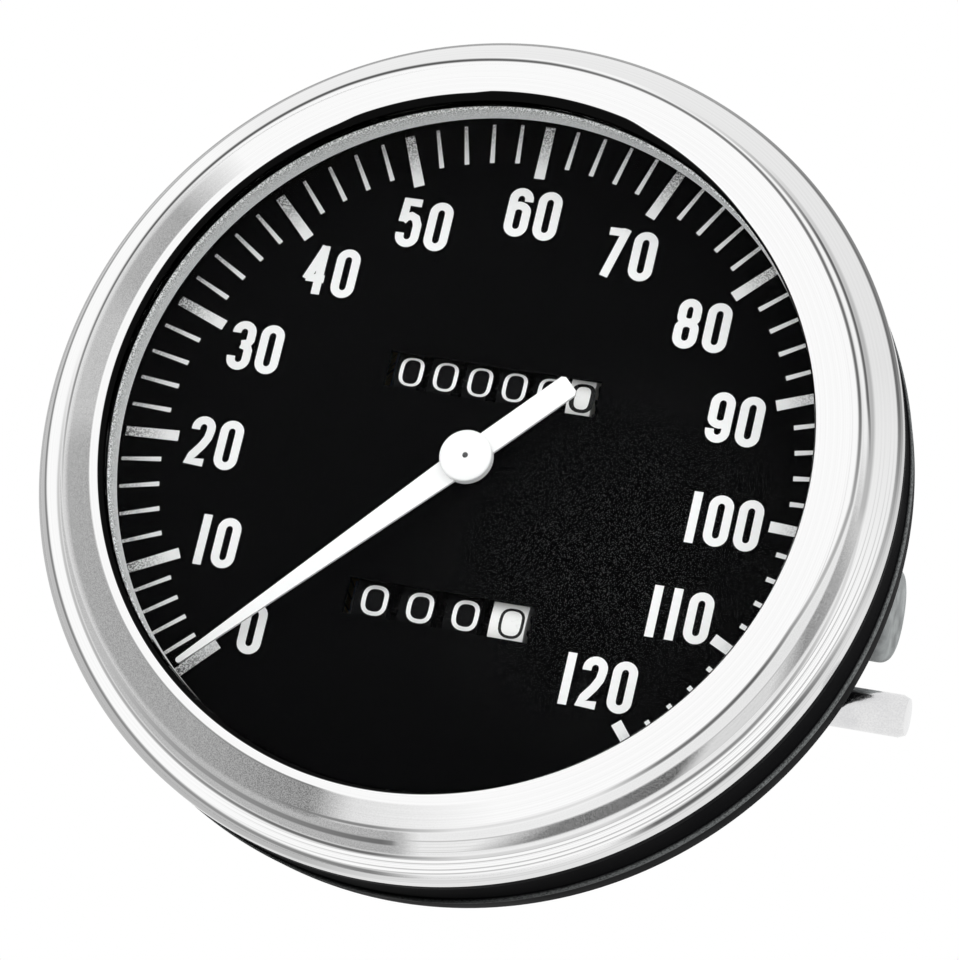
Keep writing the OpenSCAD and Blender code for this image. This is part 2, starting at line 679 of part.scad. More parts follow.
// Post of the idler gear, riveted in the trip frame's right wall, with a head that keeps the gear on
module idler_post() facing() color("silver") {
    along_x(spur_x - 0.2, idler_y, idler_z)
        cylinder(r = post_r, h = trip_frame_right + frame_t - spur_x + 0.2, $fn = SMALL);
    along_x(spur_x - 0.8, idler_y, idler_z) cylinder(r = post_r + 0.9, h = 0.6, $fn = SMALL);
}

// Bracket behind the rear plate that carries the cross shaft in two ears
module gear_bracket() facing() color("lightgray") {
    low = cross_y - ear_r;
    bottom = cross_z - ear_drop;
    difference() {
        union() {
            translate([bracket_left - bracket_t, low, rear_plate_z - bracket_t])
                cube([bracket_right - bracket_left + 2 * bracket_t, ear_r + ear_up, bracket_t]);
            for (x = [bracket_left - bracket_t, bracket_right])
                translate([x, low, bottom]) cube([bracket_t, 2 * ear_r, rear_plate_z - bottom]);
        }
        for (x = [bracket_left - bracket_t, bracket_right])
            along_x(x - 1, cross_y, cross_z)
                cylinder(r = shaft_r + run_gap, h = bracket_t + 2, $fn = SMALL);
        translate([0, 0, rear_plate_z - bracket_t - 1])
            cylinder(r = drive_r + 1, h = bracket_t + 2, $fn = SMALL);
        translate([upright_x, upright_y, rear_plate_z - bracket_t - 1])
            cylinder(r = shaft_r + run_gap, h = bracket_t + 2, $fn = SMALL);
    }
}

// Flanged bush that guides the reset stem through the can's wall
module reset_bush() facing() color("silver") difference() {
    union() {
        along_x(bush_in, -trip_y, stem_z) cylinder(r = bush_sleeve_r, h = bush_out - bush_in, $fn = SMALL);
        along_x(bush_out - 1.2, -trip_y, stem_z) cylinder(r = bush_r, h = 1.2, $fn = SMALL);
    }
    along_x(bush_in - 1, -trip_y, stem_z) cylinder(r = journal_r + run_gap, h = bush_out, $fn = SMALL);
}

// Lamp holder: a neck through the can's wall and a rubber boot outside
module lamp_holder() facing() color("dimgray") {
    round = 1.4;
    along_x(neck_in, -lamp_y, lamp_z) cylinder(r = neck_r, h = can_r + 1 - neck_in, $fn = SMALL);
    along_x(boot_in, -lamp_y, lamp_z) rotate_extrude($fn = SMALL) polygon(concat(
        [[0, 0], [boot_r, 0]],
        arc([boot_r - round, boot_l - round], round, 0, 90, 5),
        [[0, boot_l]]
    ));
}

// Small bulb inside the can, which lights the drums and the rim of the dial
module lamp_bulb() facing() color([1, 0.95, 0.8, 0.5]) {
    along_x(bulb_x, -lamp_y, lamp_z) cylinder(r = bulb_r, h = neck_in - bulb_x, $fn = SMALL);
    translate([bulb_x, -lamp_y, lamp_z]) sphere(r = bulb_r, $fn = SMALL);
}

// Pointer cut from white sheet: a long tapered blade, a round middle and a wide tail
module pointer() facing() color("white")
    rotate([0, 0, pointer_rest]) translate([0, 0, dial_z + pointer_z]) linear_extrude(height = pointer_t) {
        length = trim_r - tip_gap;
        difference() {
            union() {
                circle(r = hub_d / 2, $fn = ROUND);
                polygon([
                    [0, -pointer_w / 2], [length - tip_w / 2, -tip_w / 2],
                    [length - tip_w / 2, tip_w / 2], [0, pointer_w / 2]
                ]);
                translate([length - tip_w / 2, 0]) circle(r = tip_w / 2, $fn = SMALL);
                translate([-tail_l, -tail_w / 2]) square([tail_l, tail_w]);
            }
            circle(r = boss_r + fix_gap, $fn = SMALL);
        }
    }

// White cap over the middle of the pointer, with a boss that grips the spindle
module pointer_hub() facing() color("white") {
    cap_z = dial_z + pointer_z + pointer_t;
    difference() {
        union() {
            translate([0, 0, cap_z]) cylinder(r = hub_d / 2, h = hub_h - 0.3, $fn = ROUND);
            translate([0, 0, cap_z + hub_h - 0.3])
                cylinder(r1 = hub_d / 2, r2 = hub_d / 2 - 0.3, h = 0.3, $fn = ROUND);
            translate([0, 0, dial_z + pointer_z - 1.5])
                cylinder(r = boss_r, h = pointer_t + 2, $fn = SMALL);
        }
        translate([0, 0, dial_z]) cylinder(r = spindle_r + fix_gap, h = 10, $fn = SMALL);
    }
}

// Spindle of the pointer, with the collet of the hairspring and a boss under the speed cup
module pointer_spindle() facing() color("dimgray") {
    bottom = magnet_z + 0.6;
    top = dial_z + pointer_z + pointer_t + hub_h - 0.15;
    translate([0, 0, bottom]) cylinder(r = spindle_r, h = top - bottom, $fn = SMALL);
    translate([0, 0, spring_z - 0.2]) cylinder(r = 1.6, h = spring_h + 0.4, $fn = SMALL);
    translate([0, 0, cup_z + cup_t]) cylinder(r = 2.4, h = 0.8, $fn = SMALL);
}

// Aluminium cup that the turning magnet drags round
module speed_cup() facing() color("gainsboro") {
    bottom = rear_plate_z + plate_t + 1.2;
    translate([0, 0, bottom]) ring(cup_r, cup_r - cup_t, cup_z + cup_t - bottom, ROUND);
    translate([0, 0, cup_z]) ring(cup_r - 0.1, spindle_r + fix_gap, cup_t, ROUND);
}

// Drive shaft: a square socket for the cable, a worm, and a bore for the spindle's foot
module drive_shaft() facing() color("silver") {
    socket_l = 5;
    square_w = 2.7;
    socket_z = -drive_bush_l - 0.2 - socket_l;
    worm_z = cross_z - worm_l / 2;
    top = magnet_z + magnet_t;
    difference() {
        union() {
            translate([0, 0, socket_z]) cylinder(r = 3.2, h = socket_l, $fn = SMALL);
            translate([0, 0, socket_z + 1])
                cylinder(r = drive_r, h = worm_z - socket_z - 1, $fn = SMALL);
            translate([0, 0, worm_z + worm_l])
                cylinder(r = drive_r, h = top - worm_z - worm_l, $fn = SMALL);
        }
        translate([-square_w / 2, -square_w / 2, socket_z - 1]) cube([square_w, square_w, socket_l]);
        translate([0, 0, magnet_z]) cylinder(r = spindle_r + run_gap, h = magnet_t + 1, $fn = SMALL);
    }
    translate([0, 0, cross_z]) rotate([0, 0, 90]) worm();
}

// Ring magnet on the drive shaft
module magnet() facing() color("slategray")
    translate([0, 0, magnet_z]) ring(magnet_r, drive_r + fix_gap, magnet_t, ROUND);

// Cross shaft: the wheel that the drive shaft turns, and a worm for the upright shaft
module cross_shaft() facing() color("silver") {
    left = bracket_left - bracket_t;
    worm_x = upright_x - worm_l / 2;
    along_x(left, cross_y, cross_z) cylinder(r = shaft_r, h = worm_x - left, $fn = SMALL);
    along_x(upright_x + worm_l / 2, cross_y, cross_z)
        cylinder(r = shaft_r, h = bracket_right + bracket_t - upright_x - worm_l / 2, $fn = SMALL);
    along_x(0, cross_y, cross_z) rotate([0, 0, 180]) worm_wheel();
    along_x(upright_x, cross_y, cross_z) worm();
}

// Upright shaft: the wheel that the cross shaft turns, and a worm for the odometer's gear
module upright_shaft() facing() color("silver") {
    bottom = cross_z - 1.2;
    worm_z = counter_z - worm_l / 2;
    translate([upright_x, upright_y, 0]) {
        translate([0, 0, bottom]) cylinder(r = shaft_r, h = worm_z - bottom, $fn = SMALL);
        translate([0, 0, cross_z]) rotate([0, 0, -90]) worm_wheel();
        translate([0, 0, counter_z]) rotate([0, 0, 90]) worm();
    }
}

// Gear beside the odometer's last drum: a worm wheel, a spur gear for the trip counter, and a hub
module third_gear() facing() color("khaki") difference() {
    union() {
        along_x(upright_x, odo_y, counter_z) rotate([0, 0, 180]) worm_wheel(2);
        along_x(spur_x, odo_y, counter_z) linear_extrude(height = spur_t) rotate([0, 0, 180 + IDLER_TILT])
            gear_outline(SPUR_TEETH, spur_r, 0.8 * spur_m, 1.1 * spur_m);
        along_x(odo_half - drum_side_gap / 2, odo_y, counter_z)
            cylinder(r = wheel_r - thread_root - 0.02, h = odo_frame_right - 0.2 - odo_half, $fn = SMALL);
        along_x(odo_half - drum_side_gap / 2, odo_y, counter_z)
            cylinder(r = drum_hub_r, h = spur_x + spur_t + 0.2 - odo_half, $fn = SMALL);
    }
    along_x(0, odo_y, counter_z) cylinder(r = axle_r + run_gap, h = 2 * odo_half + 20, $fn = SMALL);
}

// Idler gear between the odometer's gear and the trip counter's
module idler_gear() facing() color("khaki")
    along_x(spur_x, idler_y, idler_z) linear_extrude(height = spur_t) difference() {
        rotate([0, 0, IDLER_TILT]) gear_outline(IDLER_TEETH, idler_r, 0.8 * spur_m, 1.1 * spur_m, 0.4, 0.5);
        circle(r = post_r + run_gap, $fn = SMALL);
    }

// Number drum around z: a carry disc with two teeth, the printed band and a ring of twenty teeth
module drum(width, bore, last = false) {
    carry_z = -(carry_w + width + ring_w) / 2;
    tooth_r = ring_pitch_r + 0.5;
    difference() {
        union() {
            translate([0, 0, carry_z]) cylinder(r = carry_r, h = carry_w, $fn = ROUND);
            translate([0, 0, carry_z]) rotate([0, 0, 200]) linear_extrude(height = carry_w)
                polygon([polar(4, -10), polar(tooth_r, -7), polar(tooth_r, 7), polar(4, 10)]);
            translate([0, 0, carry_z + carry_w]) cylinder(r = drum_r, h = width, $fn = ROUND);
            translate([0, 0, carry_z + carry_w + width]) linear_extrude(height = ring_w)
                gear_outline(RING_TEETH, ring_pitch_r, 0.75 * ring_m, 0.95 * ring_m, 0.38);
        }
        translate([0, 0, carry_z - 1]) cylinder(r = bore, h = 2 * width + 4, $fn = SMALL);
    }
}

// Transfer pinion around z
module pinion() {
    width = ring_w + carry_w;
    translate([0, 0, -width / 2]) linear_extrude(height = width) difference() {
        gear_outline(PINION_TEETH, pinion_pitch_r, 0.75 * ring_m, 0.95 * ring_m, 0.36, 0.5);
        circle(r = pin_r + run_gap, $fn = SMALL);
    }
}

// Drum number k of the odometer, counted from the left
module odometer_drum(k) facing() color(k == ODOMETER_DRUMS ? "white" : [0.1, 0.1, 0.1])
    along_x((k - (ODOMETER_DRUMS + 1) / 2) * odo_pitch, odo_y, counter_z)
        rotate([0, 0, -PINION_ANGLE]) drum(band_w, axle_r + run_gap);

// Pinion between the drums k and k + 1 of the odometer
module odometer_pinion(k) facing() color("goldenrod")
    along_x((k - ODOMETER_DRUMS / 2) * odo_pitch, odo_y + pinion_up, counter_z - pinion_back)
        rotate([0, 0, 180 - PINION_ANGLE]) pinion();

// Drum number k of the trip counter; the last one carries the gear that drives the counter
module trip_drum(k) facing() color(k == TRIP_DRUMS ? "white" : [0.1, 0.1, 0.1]) {
    x = (k - (TRIP_DRUMS + 1) / 2) * trip_pitch;
    along_x(x, -trip_y, counter_z) rotate([0, 0, 180 + PINION_ANGLE]) drum(trip_band_w, axle_r + run_gap);
    if (k == TRIP_DRUMS) trip_drive();
}

// Spur gear and hub moulded on the trip counter's last drum
module trip_drive() {
    start = trip_half - drum_side_gap;
    difference() {
        union() {
            along_x(start, -trip_y, counter_z)
                cylinder(r = drum_hub_r, h = trip_frame_right - 0.2 - start, $fn = SMALL);
            along_x(spur_x, -trip_y, counter_z) linear_extrude(height = spur_t)
                rotate([0, 0, IDLER_OFF - IDLER_TILT])
                    gear_outline(SPUR_TEETH, spur_r, 0.8 * spur_m, 1.1 * spur_m);
        }
        along_x(start - 1, -trip_y, counter_z)
            cylinder(r = axle_r + run_gap, h = trip_frame_right - start + 2, $fn = SMALL);
    }
}

// Pinion between the drums k and k + 1 of the trip counter
module trip_pinion(k) facing() color("goldenrod")
    along_x((k - TRIP_DRUMS / 2) * trip_pitch, -trip_y - pinion_up, counter_z - pinion_back)
        rotate([0, 0, PINION_ANGLE]) pinion();

// Turning axle of the trip counter, which sets its drums back to zero
module trip_axle() facing() color("silver")
    along_x(trip_frame_left - frame_t, -trip_y, counter_z)
        cylinder(r = axle_r, h = reset_x + reset_gear_t - trip_frame_left + frame_t, $fn = SMALL);

// Gear on the trip counter's axle
module reset_gear() facing() color("goldenrod")
    along_x(reset_x, -trip_y, counter_z) linear_extrude(height = reset_gear_t) difference() {
        rotate([0, 0, -90])
            gear_outline(RESET_GEAR_TEETH, reset_gear_r, 0.8 * reset_m, 1.1 * reset_m, 0.4);
        circle(r = axle_r + fix_gap, $fn = SMALL);
    }

// Polished stem that is turned by hand, with a pinion cut at its inner end
module reset_stem() facing() color("silver") {
    ring_x = stem_x - 1;
    collar_x = bush_in - 0.2 - collar_t;
    neck_x = reset_x + reset_gear_t + 0.3;
    along_x(trip_frame_right, -trip_y, stem_z)
        cylinder(r = stem_tip_r, h = reset_x - trip_frame_right, $fn = SMALL);
    along_x(reset_x, -trip_y, stem_z) linear_extrude(height = reset_gear_t + 0.3) rotate([0, 0, 90])
        gear_outline(RESET_PINION_TEETH, reset_pinion_r, 0.8 * reset_m, 1.1 * reset_m, 0.4, 0.5);
    along_x(neck_x, -trip_y, stem_z) cylinder(r = 1.8, h = collar_x - neck_x, $fn = SMALL);
    along_x(collar_x, -trip_y, stem_z) cylinder(r = journal_r + 0.5, h = collar_t, $fn = SMALL);
    along_x(collar_x + collar_t, -trip_y, stem_z)
        cylinder(r = journal_r, h = bush_out + 0.3 - collar_x - collar_t, $fn = SMALL);
    along_x(bush_out, -trip_y, stem_z) cylinder(r = stem_r, h = ring_x - bush_out, $fn = SMALL);
    along_x(ring_x, -trip_y, stem_z) cylinder(r1 = stem_r, r2 = stem_r - 0.4, h = 1, $fn = SMALL);
}

bezel();
lens();
lens_seal();
trim_ring();
spacer_ring();
dial_plate();
dial_pillars();
case_can();
case_barrel();
mounting_studs();
drive_nipple();
drive_bush();
rear_plate();
front_plate();
frame_pillars();
frame_screws();
field_ring();
hairspring();
spring_stud();
spindle_bush();
odometer_frame();
odometer_axle();
trip_frame();
pinion_shafts();
idler_post();
gear_bracket();
reset_bush();
lamp_holder();
lamp_bulb();
pointer();
pointer_hub();
pointer_spindle();
speed_cup();
drive_shaft();
magnet();
cross_shaft();
upright_shaft();
third_gear();
idler_gear();
for (k = [1:ODOMETER_DRUMS])
    odometer_drum(k);
for (k = [1:ODOMETER_DRUMS - 1])
    odometer_pinion(k);
for (k = [1:TRIP_DRUMS])
    trip_drum(k);
for (k = [1:TRIP_DRUMS - 1])
    trip_pinion(k);
trip_axle();
reset_gear();
reset_stem();
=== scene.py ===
import math

import bmesh
import bpy
from mathutils import Matrix, Vector


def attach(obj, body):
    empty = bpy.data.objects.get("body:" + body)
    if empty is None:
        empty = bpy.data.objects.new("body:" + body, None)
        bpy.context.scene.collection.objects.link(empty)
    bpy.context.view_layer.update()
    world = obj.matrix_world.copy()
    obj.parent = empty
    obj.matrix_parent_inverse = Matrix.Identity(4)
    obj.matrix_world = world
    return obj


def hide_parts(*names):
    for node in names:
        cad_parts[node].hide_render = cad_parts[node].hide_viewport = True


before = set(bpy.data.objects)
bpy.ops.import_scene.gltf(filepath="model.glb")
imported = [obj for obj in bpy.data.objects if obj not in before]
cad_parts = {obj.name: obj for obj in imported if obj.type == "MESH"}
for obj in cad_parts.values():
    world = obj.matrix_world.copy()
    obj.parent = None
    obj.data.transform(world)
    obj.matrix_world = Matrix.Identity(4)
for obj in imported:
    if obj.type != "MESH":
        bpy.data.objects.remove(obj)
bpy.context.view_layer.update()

# THE VIEW
# The speedometer is seen from in front, a little from the right and from below, with a long lens.
# Only the place, the turn and the lens are set here.


def made(name, data):
    """A new object in the scene."""
    thing = bpy.data.objects.new(name, data)
    bpy.context.scene.collection.objects.link(thing)
    return thing


camera = made("viewing_camera", bpy.data.cameras.new("viewing_camera"))
camera.location = (0.17645, -0.647713, -0.171505)
camera.rotation_euler = (1.844233, -0.225653, 0.222658)
camera.data.lens = 166.8975
camera.data.sensor_width = 36.0
camera.data.clip_start = 0.05
bpy.context.scene.camera = camera

# CASE BARREL
# The wide front part of the case: drawn steel sheet with a rolled bead round it and an outward flange. It is
# dipped in black stove enamel and dusted with fine specks; a grey band along the bead is a painted highlight.
# All outlines below are in millimetres, radius first and then the height above the back of the case.
BEZEL_R = 63.5
MOUTH_R = BEZEL_R - 1.7
WALL_R = BEZEL_R - 0.6
CASE_T = 0.9
CAN_R = 44.5458
STEP_Z = 39.0
BEAD_Z = STEP_Z + 6.2
FLANGE_Z = 55.6
NECK_Z = FLANGE_Z - 1.9
SHOULDER_Z = NECK_Z - (WALL_R - MOUTH_R)
PLAY = 0.03
CREASE = math.radians(32)
FACING = Matrix.Rotation(math.radians(90), 4, "X") @ Matrix.Scale(0.001, 4)
CASE_BLACK = (0.004, 0.004, 0.0045)
CASE_DUST = (0.02, 0.021, 0.021)
BEAD_HIGHLIGHT_GREY = (0.19, 0.20, 0.20)


def fill(node, inputs):
    """Links or sets some inputs of a node. A node among the values stands for its first output."""
    for key, value in inputs.items():
        if isinstance(value, bpy.types.Node):
            value = value.outputs[0]
        if isinstance(value, bpy.types.NodeSocket):
            node.id_data.links.new(value, node.inputs[key])
        else:
            node.inputs[key].default_value = value


def put(tree, kind, inputs=None, **settings):
    """Adds a node to a tree, with its settings and inputs."""
    node = tree.nodes.new(kind)
    for key, value in settings.items():
        setattr(node, key, value)
    fill(node, inputs or {})
    return node


def reckon(operation, *values, clamp=False):
    """Reckons with values and sockets, in the tree that a socket among them belongs to."""
    tree = next(value.id_data for value in values if hasattr(value, "id_data"))
    sums = put(tree, "ShaderNodeMath", dict(enumerate(values)), operation=operation, use_clamp=clamp)
    return sums.outputs["Value"]


def times(first, second):
    """The product of two values or sockets."""
    return reckon("MULTIPLY", first, second)


def begin_tree(name, inputs, output):
    """A new geometry tree with named inputs, and the sockets on which they come in."""
    tree = bpy.data.node_groups.new(name, "GeometryNodeTree")
    for key, kind in inputs.items():
        tree.interface.new_socket(name=key, in_out="INPUT", socket_type="NodeSocket" + kind)
    tree.interface.new_socket(name=output, in_out="OUTPUT", socket_type="NodeSocketGeometry")
    return tree, put(tree, "NodeGroupInput").outputs


def end_tree(tree, geometry, finish):
    """Makes what a tree has built real, gives it its material and hands it out."""
    real = put(tree, "GeometryNodeRealizeInstances", {"Geometry": geometry})
    done = put(tree, "GeometryNodeSetMaterial", {"Geometry": real, "Material": finish})
    put(tree, "NodeGroupOutput", {0: done})
    return tree


def spinning_tree():
    """Turns a closed outline, given as a mesh of edges, into a spun ring around the z axis."""
    tree, given = begin_tree("spun_outline", {
        "Outline": "Geometry", "Path radius": "Float", "Steps": "Int", "Finish": "Material"}, "Ring")
    path = put(tree, "GeometryNodeCurvePrimitiveCircle", {
        "Radius": given["Path radius"], "Resolution": given["Steps"]})
    outline = put(tree, "GeometryNodeMeshToCurve", {"Mesh": given["Outline"]})
    ring = put(tree, "GeometryNodeCurveToMesh", {"Curve": path, "Profile Curve": outline})
    return end_tree(tree, ring, given["Finish"])


SPIN = spinning_tree()


def grown(name, mesh, tree, values):
    """Runs a tree on a mesh and keeps the result as the plain mesh of a new piece."""
    piece = made(name, mesh)
    step = piece.modifiers.new("grow", "NODES")
    step.node_group = tree
    identifiers = {s.name: s.identifier for s in tree.interface.items_tree if s.in_out == "INPUT"}
    for key, value in values.items():
        step[identifiers[key]] = value
    bpy.context.view_layer.update()
    seen = piece.evaluated_get(bpy.context.evaluated_depsgraph_get())
    result = bpy.data.meshes.new_from_object(seen)
    piece.modifiers.clear()
    piece.data = result
    return piece


def closed_up(mesh, place):
    """Puts a mesh in its place, closes its seams, turns its faces outwards and smooths it between creases."""
    mesh.transform(place)
    shell = bmesh.new()
    shell.from_mesh(mesh)
    bmesh.ops.remove_doubles(shell, verts=shell.verts, dist=2e-7)
    bmesh.ops.recalc_face_normals(shell, faces=shell.faces)
    for face in shell.faces:
        face.smooth = True
    shell.to_mesh(mesh)
    shell.free()
    mesh.set_sharp_from_angle(angle=CREASE)


def spun(name, outline, finish, place=FACING, steps=256, open_ends=False):
    """A piece spun from its outline. An outline that starts and ends on the axis stays open."""
    path_r = 10.0
    mesh = bpy.data.meshes.new(name)
    count = len(outline)
    edges = [(i, (i + 1) % count) for i in range(count - 1 if open_ends else count)]
    mesh.from_pydata([(r - path_r, -h, 0) for r, h in outline], edges, [])
    piece = grown(name, mesh, SPIN, {"Path radius": path_r, "Steps": steps, "Finish": finish})
    closed_up(piece.data, place)
    return piece


def arc(centre, radius, start, end, steps=8):
    """Points of an arc, used in turned outlines."""
    turns = [math.radians(start + (end - start) * i / steps) for i in range(steps + 1)]
    return [(centre[0] + radius * math.cos(a), centre[1] + radius * math.sin(a)) for a in turns]


def begin_finish(name):
    """A new material with its shader and the place on the piece that its patterns read."""
    finish = bpy.data.materials.new(name)
    finish.use_nodes = True
    tree = finish.node_tree
    return finish, tree.nodes["Principled BSDF"], put(tree, "ShaderNodeTexCoord").outputs["Object"]


def part(spot, axis):
    """One coordinate of a place."""
    return put(spot.id_data, "ShaderNodeSeparateXYZ", {"Vector": spot}).outputs[axis]


def grain(spot, scale, detail=3.0):
    """A grain with a number of grains to the metre."""
    noise = put(spot.id_data, "ShaderNodeTexNoise", {"Vector": spot, "Scale": scale, "Detail": detail})
    return noise.outputs["Fac"]


def between(value, low, high, start=0.0, end=1.0):
    """Maps a value from one range to another."""
    return put(value.id_data, "ShaderNodeMapRange", {
        "Value": value, "From Min": low, "From Max": high, "To Min": start, "To Max": end}).outputs["Result"]


def tinted(factor, first, second):
    """Mixes two colours, each written out or taken from a socket."""
    first, second = (c if isinstance(c, bpy.types.NodeSocket) else (*c, 1.0) for c in (first, second))
    return put(factor.id_data, "ShaderNodeMix", {0: factor, 6: first, 7: second}, data_type="RGBA").outputs[2]


def raised(shader, height, depth, strength):
    """Gives a surface its relief, with a depth in metres."""
    bump = put(shader.id_data, "ShaderNodeBump", {"Height": height, "Distance": depth, "Strength": strength})
    fill(shader, {"Normal": bump})


def enamel_finish(name, ground, speck, rough, specks=0.7, peel=2.0e-5, gloss=0.5, painted_highlight=None):
    """Sprayed or dipped enamel: orange peel, cloudiness, specks of dust, and a painted highlight on a ridge.
    """
    finish, shader, spot = begin_finish(name)
    dust = between(grain(spot, 5200.0, 1.0), specks, specks + 0.06)
    if painted_highlight:
        # Painted highlight: a grey band along the ridge, where the bead catches the light.
        ridge_z, reach = painted_highlight
        off = reckon("ABSOLUTE", reckon("ADD", part(spot, "Y"), ridge_z / 1000))
        highlight_band = between(off, reach / 2000, reach / 1000, 1.0, 0.0)
        patchy = between(grain(spot, 3600.0, 2.0), 0.35, 0.6, 0.25, 1.0)
        ground = tinted(times(highlight_band, patchy), ground, BEAD_HIGHLIGHT_GREY)
    fill(shader, {
        "Base Color": tinted(dust, ground, speck),
        "Roughness": between(grain(spot, 120.0), 0.3, 0.7, rough - 0.05, rough + 0.07),
        "Specular IOR Level": gloss})
    raised(shader, grain(spot, 900.0), peel, 0.6)
    return finish


case_enamel = enamel_finish("case_black_enamel", CASE_BLACK, CASE_DUST, 0.40, gloss=0.003)
# The barrel's enamel carries a painted highlight along the bead.
barrel_enamel = enamel_finish("case_enamel_painted_bead_highlight", CASE_BLACK, CASE_DUST, 0.40, gloss=0.003,
                              painted_highlight=(BEAD_Z + 0.2, 0.95))
bead = [(WALL_R + 0.45 * math.cos(math.radians(a)), BEAD_Z + 1.2 * math.sin(math.radians(a)))
        for a in range(-84, 90, 12)]
shoulder = [
    (WALL_R, SHOULDER_Z - 0.5), (WALL_R - 0.06, SHOULDER_Z - 0.15), (WALL_R - 0.25, SHOULDER_Z + 0.15),
    (MOUTH_R + 0.25, NECK_Z - 0.35), (MOUTH_R + 0.06, NECK_Z - 0.1), (MOUTH_R, NECK_Z + 0.2),
]
flange_low = FLANGE_Z - CASE_T
wall_in, neck_in = WALL_R - CASE_T, MOUTH_R - CASE_T
barrel = spun("case_barrel_shell", [
    (CAN_R + PLAY, STEP_Z), *arc((WALL_R - 1.2, STEP_Z + 1.2), 1.2, -90, -8), *bead, (WALL_R, BEAD_Z + 1.3),
    *shoulder, (MOUTH_R, flange_low - 0.3), *arc((MOUTH_R + 0.3, flange_low - 0.3), 0.3, 180, 90, 4),
    (BEZEL_R - 0.95, flange_low), (BEZEL_R - 0.9, flange_low + 0.05), (BEZEL_R - 0.9, FLANGE_Z),
    (neck_in, FLANGE_Z), (neck_in, NECK_Z - 0.37), (wall_in, SHOULDER_Z - 0.37),
    (wall_in, STEP_Z + CASE_T), (CAN_R + PLAY, STEP_Z + CASE_T),
], barrel_enamel)
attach(barrel, "case")
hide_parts("case_barrel")

# REAR CAN
# The narrow rear part of the case: a deep-drawn cup with a rounded edge, soldered by its lip to the barrel's
# floor. It has the same black enamel, and holes for the studs, the drive nipple, the reset stem and the lamp.


def smoothing_tree():
    """Closes the seams of a machined solid and shades its curved faces smooth between its edges."""
    tree, given = begin_tree("smooth_machined_faces", {"Solid": "Geometry", "Crease": "Float"}, "Solid")
    tree.interface.items_tree["Crease"].default_value = math.radians(28)
    closed = put(tree, "GeometryNodeMergeByDistance", {"Geometry": given["Solid"], "Distance": 2e-6})
    smooth = put(tree, "GeometryNodeSetShadeSmooth", {"Geometry": closed, "Shade Smooth": True})
    angle = put(tree, "GeometryNodeInputMeshEdgeAngle")
    sharp = put(tree, "FunctionNodeCompare", {0: angle, 1: given["Crease"]},
                data_type="FLOAT", operation="GREATER_THAN")
    edges = put(tree, "GeometryNodeSetShadeSmooth", {
        "Geometry": smooth, "Selection": sharp, "Shade Smooth": False}, domain="EDGE")
    put(tree, "NodeGroupOutput", {"Solid": edges})
    return tree


SMOOTH = smoothing_tree()


def dressed(finish, *names):
    """Gives machined solids, whose shape is right as it is, their finish."""
    for name in names:
        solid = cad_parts[name]
        solid.data.materials.clear()
        solid.data.materials.append(finish)
        solid.modifiers.new("smooth", "NODES").node_group = SMOOTH


dressed(case_enamel, "case_can")

# MOUNTING STUDS AND DRIVE NIPPLE
# Two studs turned from steel bar, with a thread outside the case and a thick post inside for the movement.
# Between them is the nipple for the nut of the drive cable. All are zinc plated, dull and faintly yellow.
STUD_AT = 31.75
STUD_R = 2.4
STUD_L = 14.0
STUD_HOLE_R = 2.72
POST_R = 3.5
POST_TOP = 13.05
NIPPLE_R = 7.9
NIPPLE_BORE = 5.0
BURIED = 0.02


def from_axis(spot):
    """Distance from the middle axis of the speedometer."""
    flat = put(spot.id_data, "ShaderNodeVectorMath", {0: spot, 1: (1.0, 0.0, 1.0)}, operation="MULTIPLY")
    return put(spot.id_data, "ShaderNodeVectorMath", {0: flat}, operation="LENGTH").outputs["Value"]


def turned_rings(radius, scale, detail):
    """Fine rings that a turning tool leaves."""
    return put(radius.id_data, "ShaderNodeTexNoise", {"W": radius, "Scale": scale, "Detail": detail},
               noise_dimensions="1D").outputs["Fac"]


def metal_finish(name, light, dark, rough, darkening=90.0, cut=2600.0, depth=6e-6, turned=False):
    """Bare or plated metal: cloudy stains, fine tool marks and a roughness that varies with both."""
    finish, shader, spot = begin_finish(name)
    marks = turned_rings(from_axis(spot), cut, 4.0) if turned else grain(spot, cut, 4.0)
    worn = between(times(grain(spot, darkening), marks), 0.12, 0.38)
    fill(shader, {
        "Base Color": tinted(worn, dark, light),
        "Roughness": between(marks, 0.3, 0.7, rough - 0.06, rough + 0.08),
        "Metallic": 1.0})
    raised(shader, marks, depth, 0.5)
    return finish


def threading_tree():
    """Winds a rounded ridge, as a rolled thread has, up the z axis."""
    tree, given = begin_tree("wound_thread", {
        "Base": "Geometry", "Crest radius": "Float", "Pitch": "Float", "Length": "Float",
        "Finish": "Material"}, "Thread")
    ridge_r = times(given["Pitch"], 0.36)
    middle_r = reckon("SUBTRACT", given["Crest radius"], ridge_r)
    turns = reckon("DIVIDE", given["Length"], given["Pitch"])
    helix = put(tree, "GeometryNodeCurveSpiral", {
        "Resolution": 40, "Rotations": turns, "Start Radius": middle_r, "End Radius": middle_r,
        "Height": given["Length"], "Reverse": False})
    bar = put(tree, "GeometryNodeCurvePrimitiveCircle", {"Radius": ridge_r, "Resolution": 8})
    ridge = put(tree, "GeometryNodeCurveToMesh", {"Curve": helix, "Profile Curve": bar, "Fill Caps": True})
    return end_tree(tree, ridge, given["Finish"])


THREAD = threading_tree()


def thread(name, crest_r, pitch, low, high, finish, place):
    """The wound ridge of a thread between two heights."""
    piece = grown(name, bpy.data.meshes.new(name), THREAD, {
        "Crest radius": crest_r, "Pitch": pitch, "Length": high - low, "Finish": finish})
    closed_up(piece.data, place @ Matrix.Translation((0, 0, low)))
    return piece


def kept(name, shell, finish, crease=CREASE):
    """Keeps a worked shell as a piece of its own."""
    mesh = bpy.data.meshes.new(name)
    shell.to_mesh(mesh)
    shell.free()
    mesh.materials.append(finish)
    mesh.set_sharp_from_angle(angle=crease)
    return made(name, mesh)


